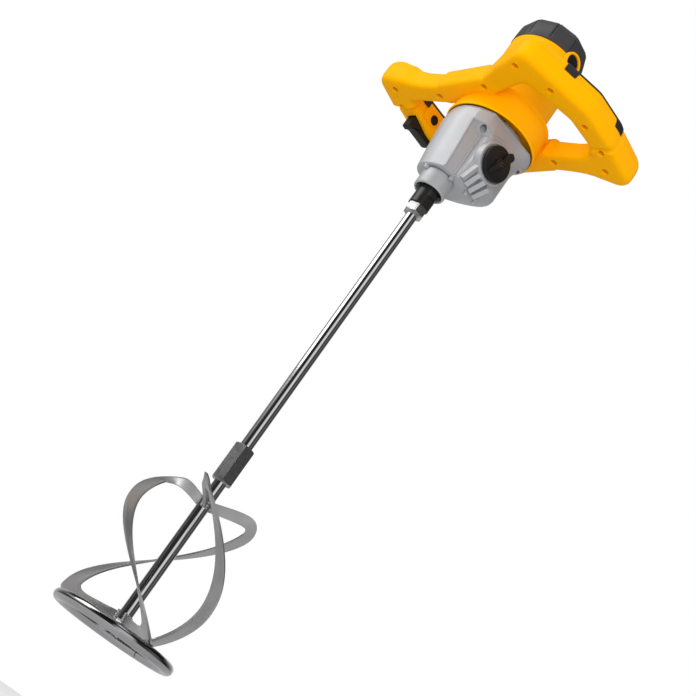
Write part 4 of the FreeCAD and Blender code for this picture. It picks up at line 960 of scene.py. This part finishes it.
# Inside: gears, bearings, motor and switch, which the casings hide. They keep the shapes of the solids,
# each in the plain metal or plastic that it is made of.
inner_finishes = {
    "gear_steel": ((0.30, 0.30, 0.31, 1), 0.30, 1.0), "bearing_steel": ((0.55, 0.55, 0.56, 1), 0.18, 1.0),
    "core_steel": ((0.20, 0.20, 0.21, 1), 0.45, 1.0), "copper": ((0.62, 0.26, 0.12, 1), 0.30, 1.0),
    "brass": ((0.62, 0.46, 0.16, 1), 0.28, 1.0), "carbon": ((0.015, 0.015, 0.015, 1), 0.6, 0.0),
    "seal_rubber": ((0.012, 0.012, 0.012, 1), 0.6, 0.0)}


def plain(colour):
    """A colour that darkens a little in clouds."""
    def sockets(shade):
        cloud = shade.noise(120.0, 3.0)
        return {"Base Color": shade.mix(colour, (0.02, 0.02, 0.02, 1), cloud.between(0.0, 0.25))}
    return sockets


for slot, (colour, roughness, metallic) in inner_finishes.items():
    finish(slot, plain(colour), Roughness=roughness, Metallic=metallic)
for row in frame["record"]["subparts"]:
    made = frame["nodes"][row["node"]]
    made.data.materials.clear()
    made.data.materials.append(finishes[row["material_slot"]])

# Floor: a pale, matt studio floor below the hanging machine. Its colour is white for the camera and light
# grey for the light that it throws back, and it is clear from below.
floor_level = -720.0
floor_radius = 4000.0
floor = piece("floor", turned([(0, floor_level), (floor_radius, floor_level)], steps=64))
floor.data.flip_normals()


def studio_floor(shade):
    """White for camera rays, grey for the rest, and clear on its lower side."""
    camera_ray = shade.node("LightPath", out="Is Camera Ray")
    below = shade.node("NewGeometry", out="Backfacing")
    return {"Base Color": shade.mix((0.65, 0.65, 0.65, 1), (1, 1, 1, 1), camera_ray), "Alpha": 1 - below}


floor.data.materials.append(finish("studio_floor", studio_floor, Roughness=0.8, Specular_IOR_Level=0.1))

# World: white to the camera, soft daylight on the surfaces, and dark panels between white ones for
# what the polished steel mirrors, set by compass direction.
sky_strength = 0.77
panel_change = (0.22, 0.36)
right_panels = [(0.375, 0.02), (0.415, 0.9), (0.45, 1.0), (0.485, 0.9), (0.515, 0.04), (0.55, 0.05),
                (0.60, 0.15), (0.64, 0.15), (0.69, 0.03), (0.73, 0.04), (0.78, 0.3), (0.86, 0.9), (1.0, 0.5)]
high_panels = [(0.0, 0.5), (0.05, 0.25), (0.10, 0.5), (0.15, 0.95), (0.20, 0.95), (0.25, 0.25), (0.275, 0.03),
               *right_panels]
low_panels = [(0.0, 0.4), (0.05, 0.15), (0.12, 0.05), (0.17, 0.14), (0.22, 0.04), *right_panels]
heights = [(0.0, 0.9), (0.45, 1.0), (0.74, 1.0), (0.80, 0.12), (0.90, 0.12), (0.95, 1.0)]
world = bpy.data.worlds.new("studio")
world.use_nodes = True
bpy.context.scene.world = world
sky = Shade(world.node_tree)


def greys(value, stops):
    """A ramp of greys along a value, from (place, grey) stops."""
    return sky.node("ValToRGB", {0: value}, stops=[(place, (grey, grey, grey, 1)) for place, grey in stops])


def outputs(shade, *names):
    """Several outputs of the node that a socket belongs to."""
    return [Shade(world.node_tree, shade.socket.node.outputs[name]) for name in names]


direction = sky.node("SeparateXYZ", {0: sky.node("TexCoord", out="Generated")})
eastward, northward, upward = outputs(direction, "X", "Y", "Z")
compass = sky.maths("ARCTAN2", northward, eastward) * (0.5 / np.pi) + 0.5
mirrored = sky.mix(greys(compass, low_panels), greys(compass, high_panels), upward.above(*panel_change))
ceiling = greys(upward * 0.5 + 0.5, heights)
mirrored = sky.node("Mix", {0: 1.0, 6: mirrored, 7: ceiling}, out=2, data_type="RGBA", blend_type="MULTIPLY")
ray_kinds = ("Is Camera Ray", "Is Glossy Ray", "Is Transmission Ray")
seen, glossy, through = outputs(sky.node("LightPath"), *ray_kinds)
daylight = sky.mix((sky_strength, sky_strength, sky_strength, 1), mirrored, glossy)
backdrop = sky.mix(daylight, (1, 1, 1, 1), sky.maths("MAXIMUM", seen, through))
world.node_tree.links.new(backdrop.socket, world.node_tree.nodes["Background"].inputs["Color"])

# Lights: one large soft box up to the left of the camera, which the steel mirrors, and a smaller one low
# down in front, which it doesn't. Each row is place, aim, width and power.
softboxes = [((-0.55, -1.15, 0.75), (0.0, 0.0, 0.05), 1.1, 11.0),
             ((1.15, -0.75, -0.35), (0.0, 0.0, 0.10), 0.9, 10.0)]


def stand_at(made, right, up, place):
    """Puts a lamp or the camera at a place with its own X along right and its own Y along up."""
    stance = np.eye(4)
    stance[:3, :3] = np.stack([right, up, np.cross(right, up)], 1)
    stance[:3, 3] = place
    bpy.context.scene.collection.objects.link(made)
    made.matrix_world = Matrix(stance.tolist())


for number, (place, aim, width, power) in enumerate(softboxes, 1):
    lamp = bpy.data.lights.new(f"softbox_{number}", "AREA")
    lamp.size = width
    lamp.energy = power
    lit = bpy.data.objects.new(f"softbox_{number}", lamp)
    lit.visible_glossy = number == 1
    backward = np.array(place) - np.array(aim)
    backward /= np.linalg.norm(backward)
    across = np.cross((0, 0, 1), backward)
    across /= np.linalg.norm(across)
    stand_at(lit, across, np.cross(backward, across), place)

# Camera, at the photograph's viewing angle: below the grips and to one side, turned about its own axis
view_turn = np.radians(37.0)
view_pitch = np.radians(20.5)
view_roll = 0.61398744
focal_pixels = 1230.0
picture_pixels = 696.0
film_width = 36.0
sideways = np.array([np.sin(view_turn), np.cos(view_turn), 0])
nearer = np.array([np.cos(view_turn), -np.sin(view_turn), 0])
upright = np.array([0, 0, 1.0])
up = np.sin(view_pitch) * nearer + np.cos(view_pitch) * upright
right = np.cos(view_roll) * sideways + np.sin(view_roll) * up
top = -np.sin(view_roll) * sideways + np.cos(view_roll) * up
stand = 0.02728 * sideways + 1.2430 * nearer - 0.67510 * upright
lens = bpy.data.cameras.new("camera")
lens.sensor_width = film_width
lens.lens = focal_pixels / picture_pixels * film_width
camera = bpy.data.objects.new("camera", lens)
stand_at(camera, right, top, stand)
bpy.context.scene.camera = camera
bpy.context.scene.view_settings.view_transform = "Standard"
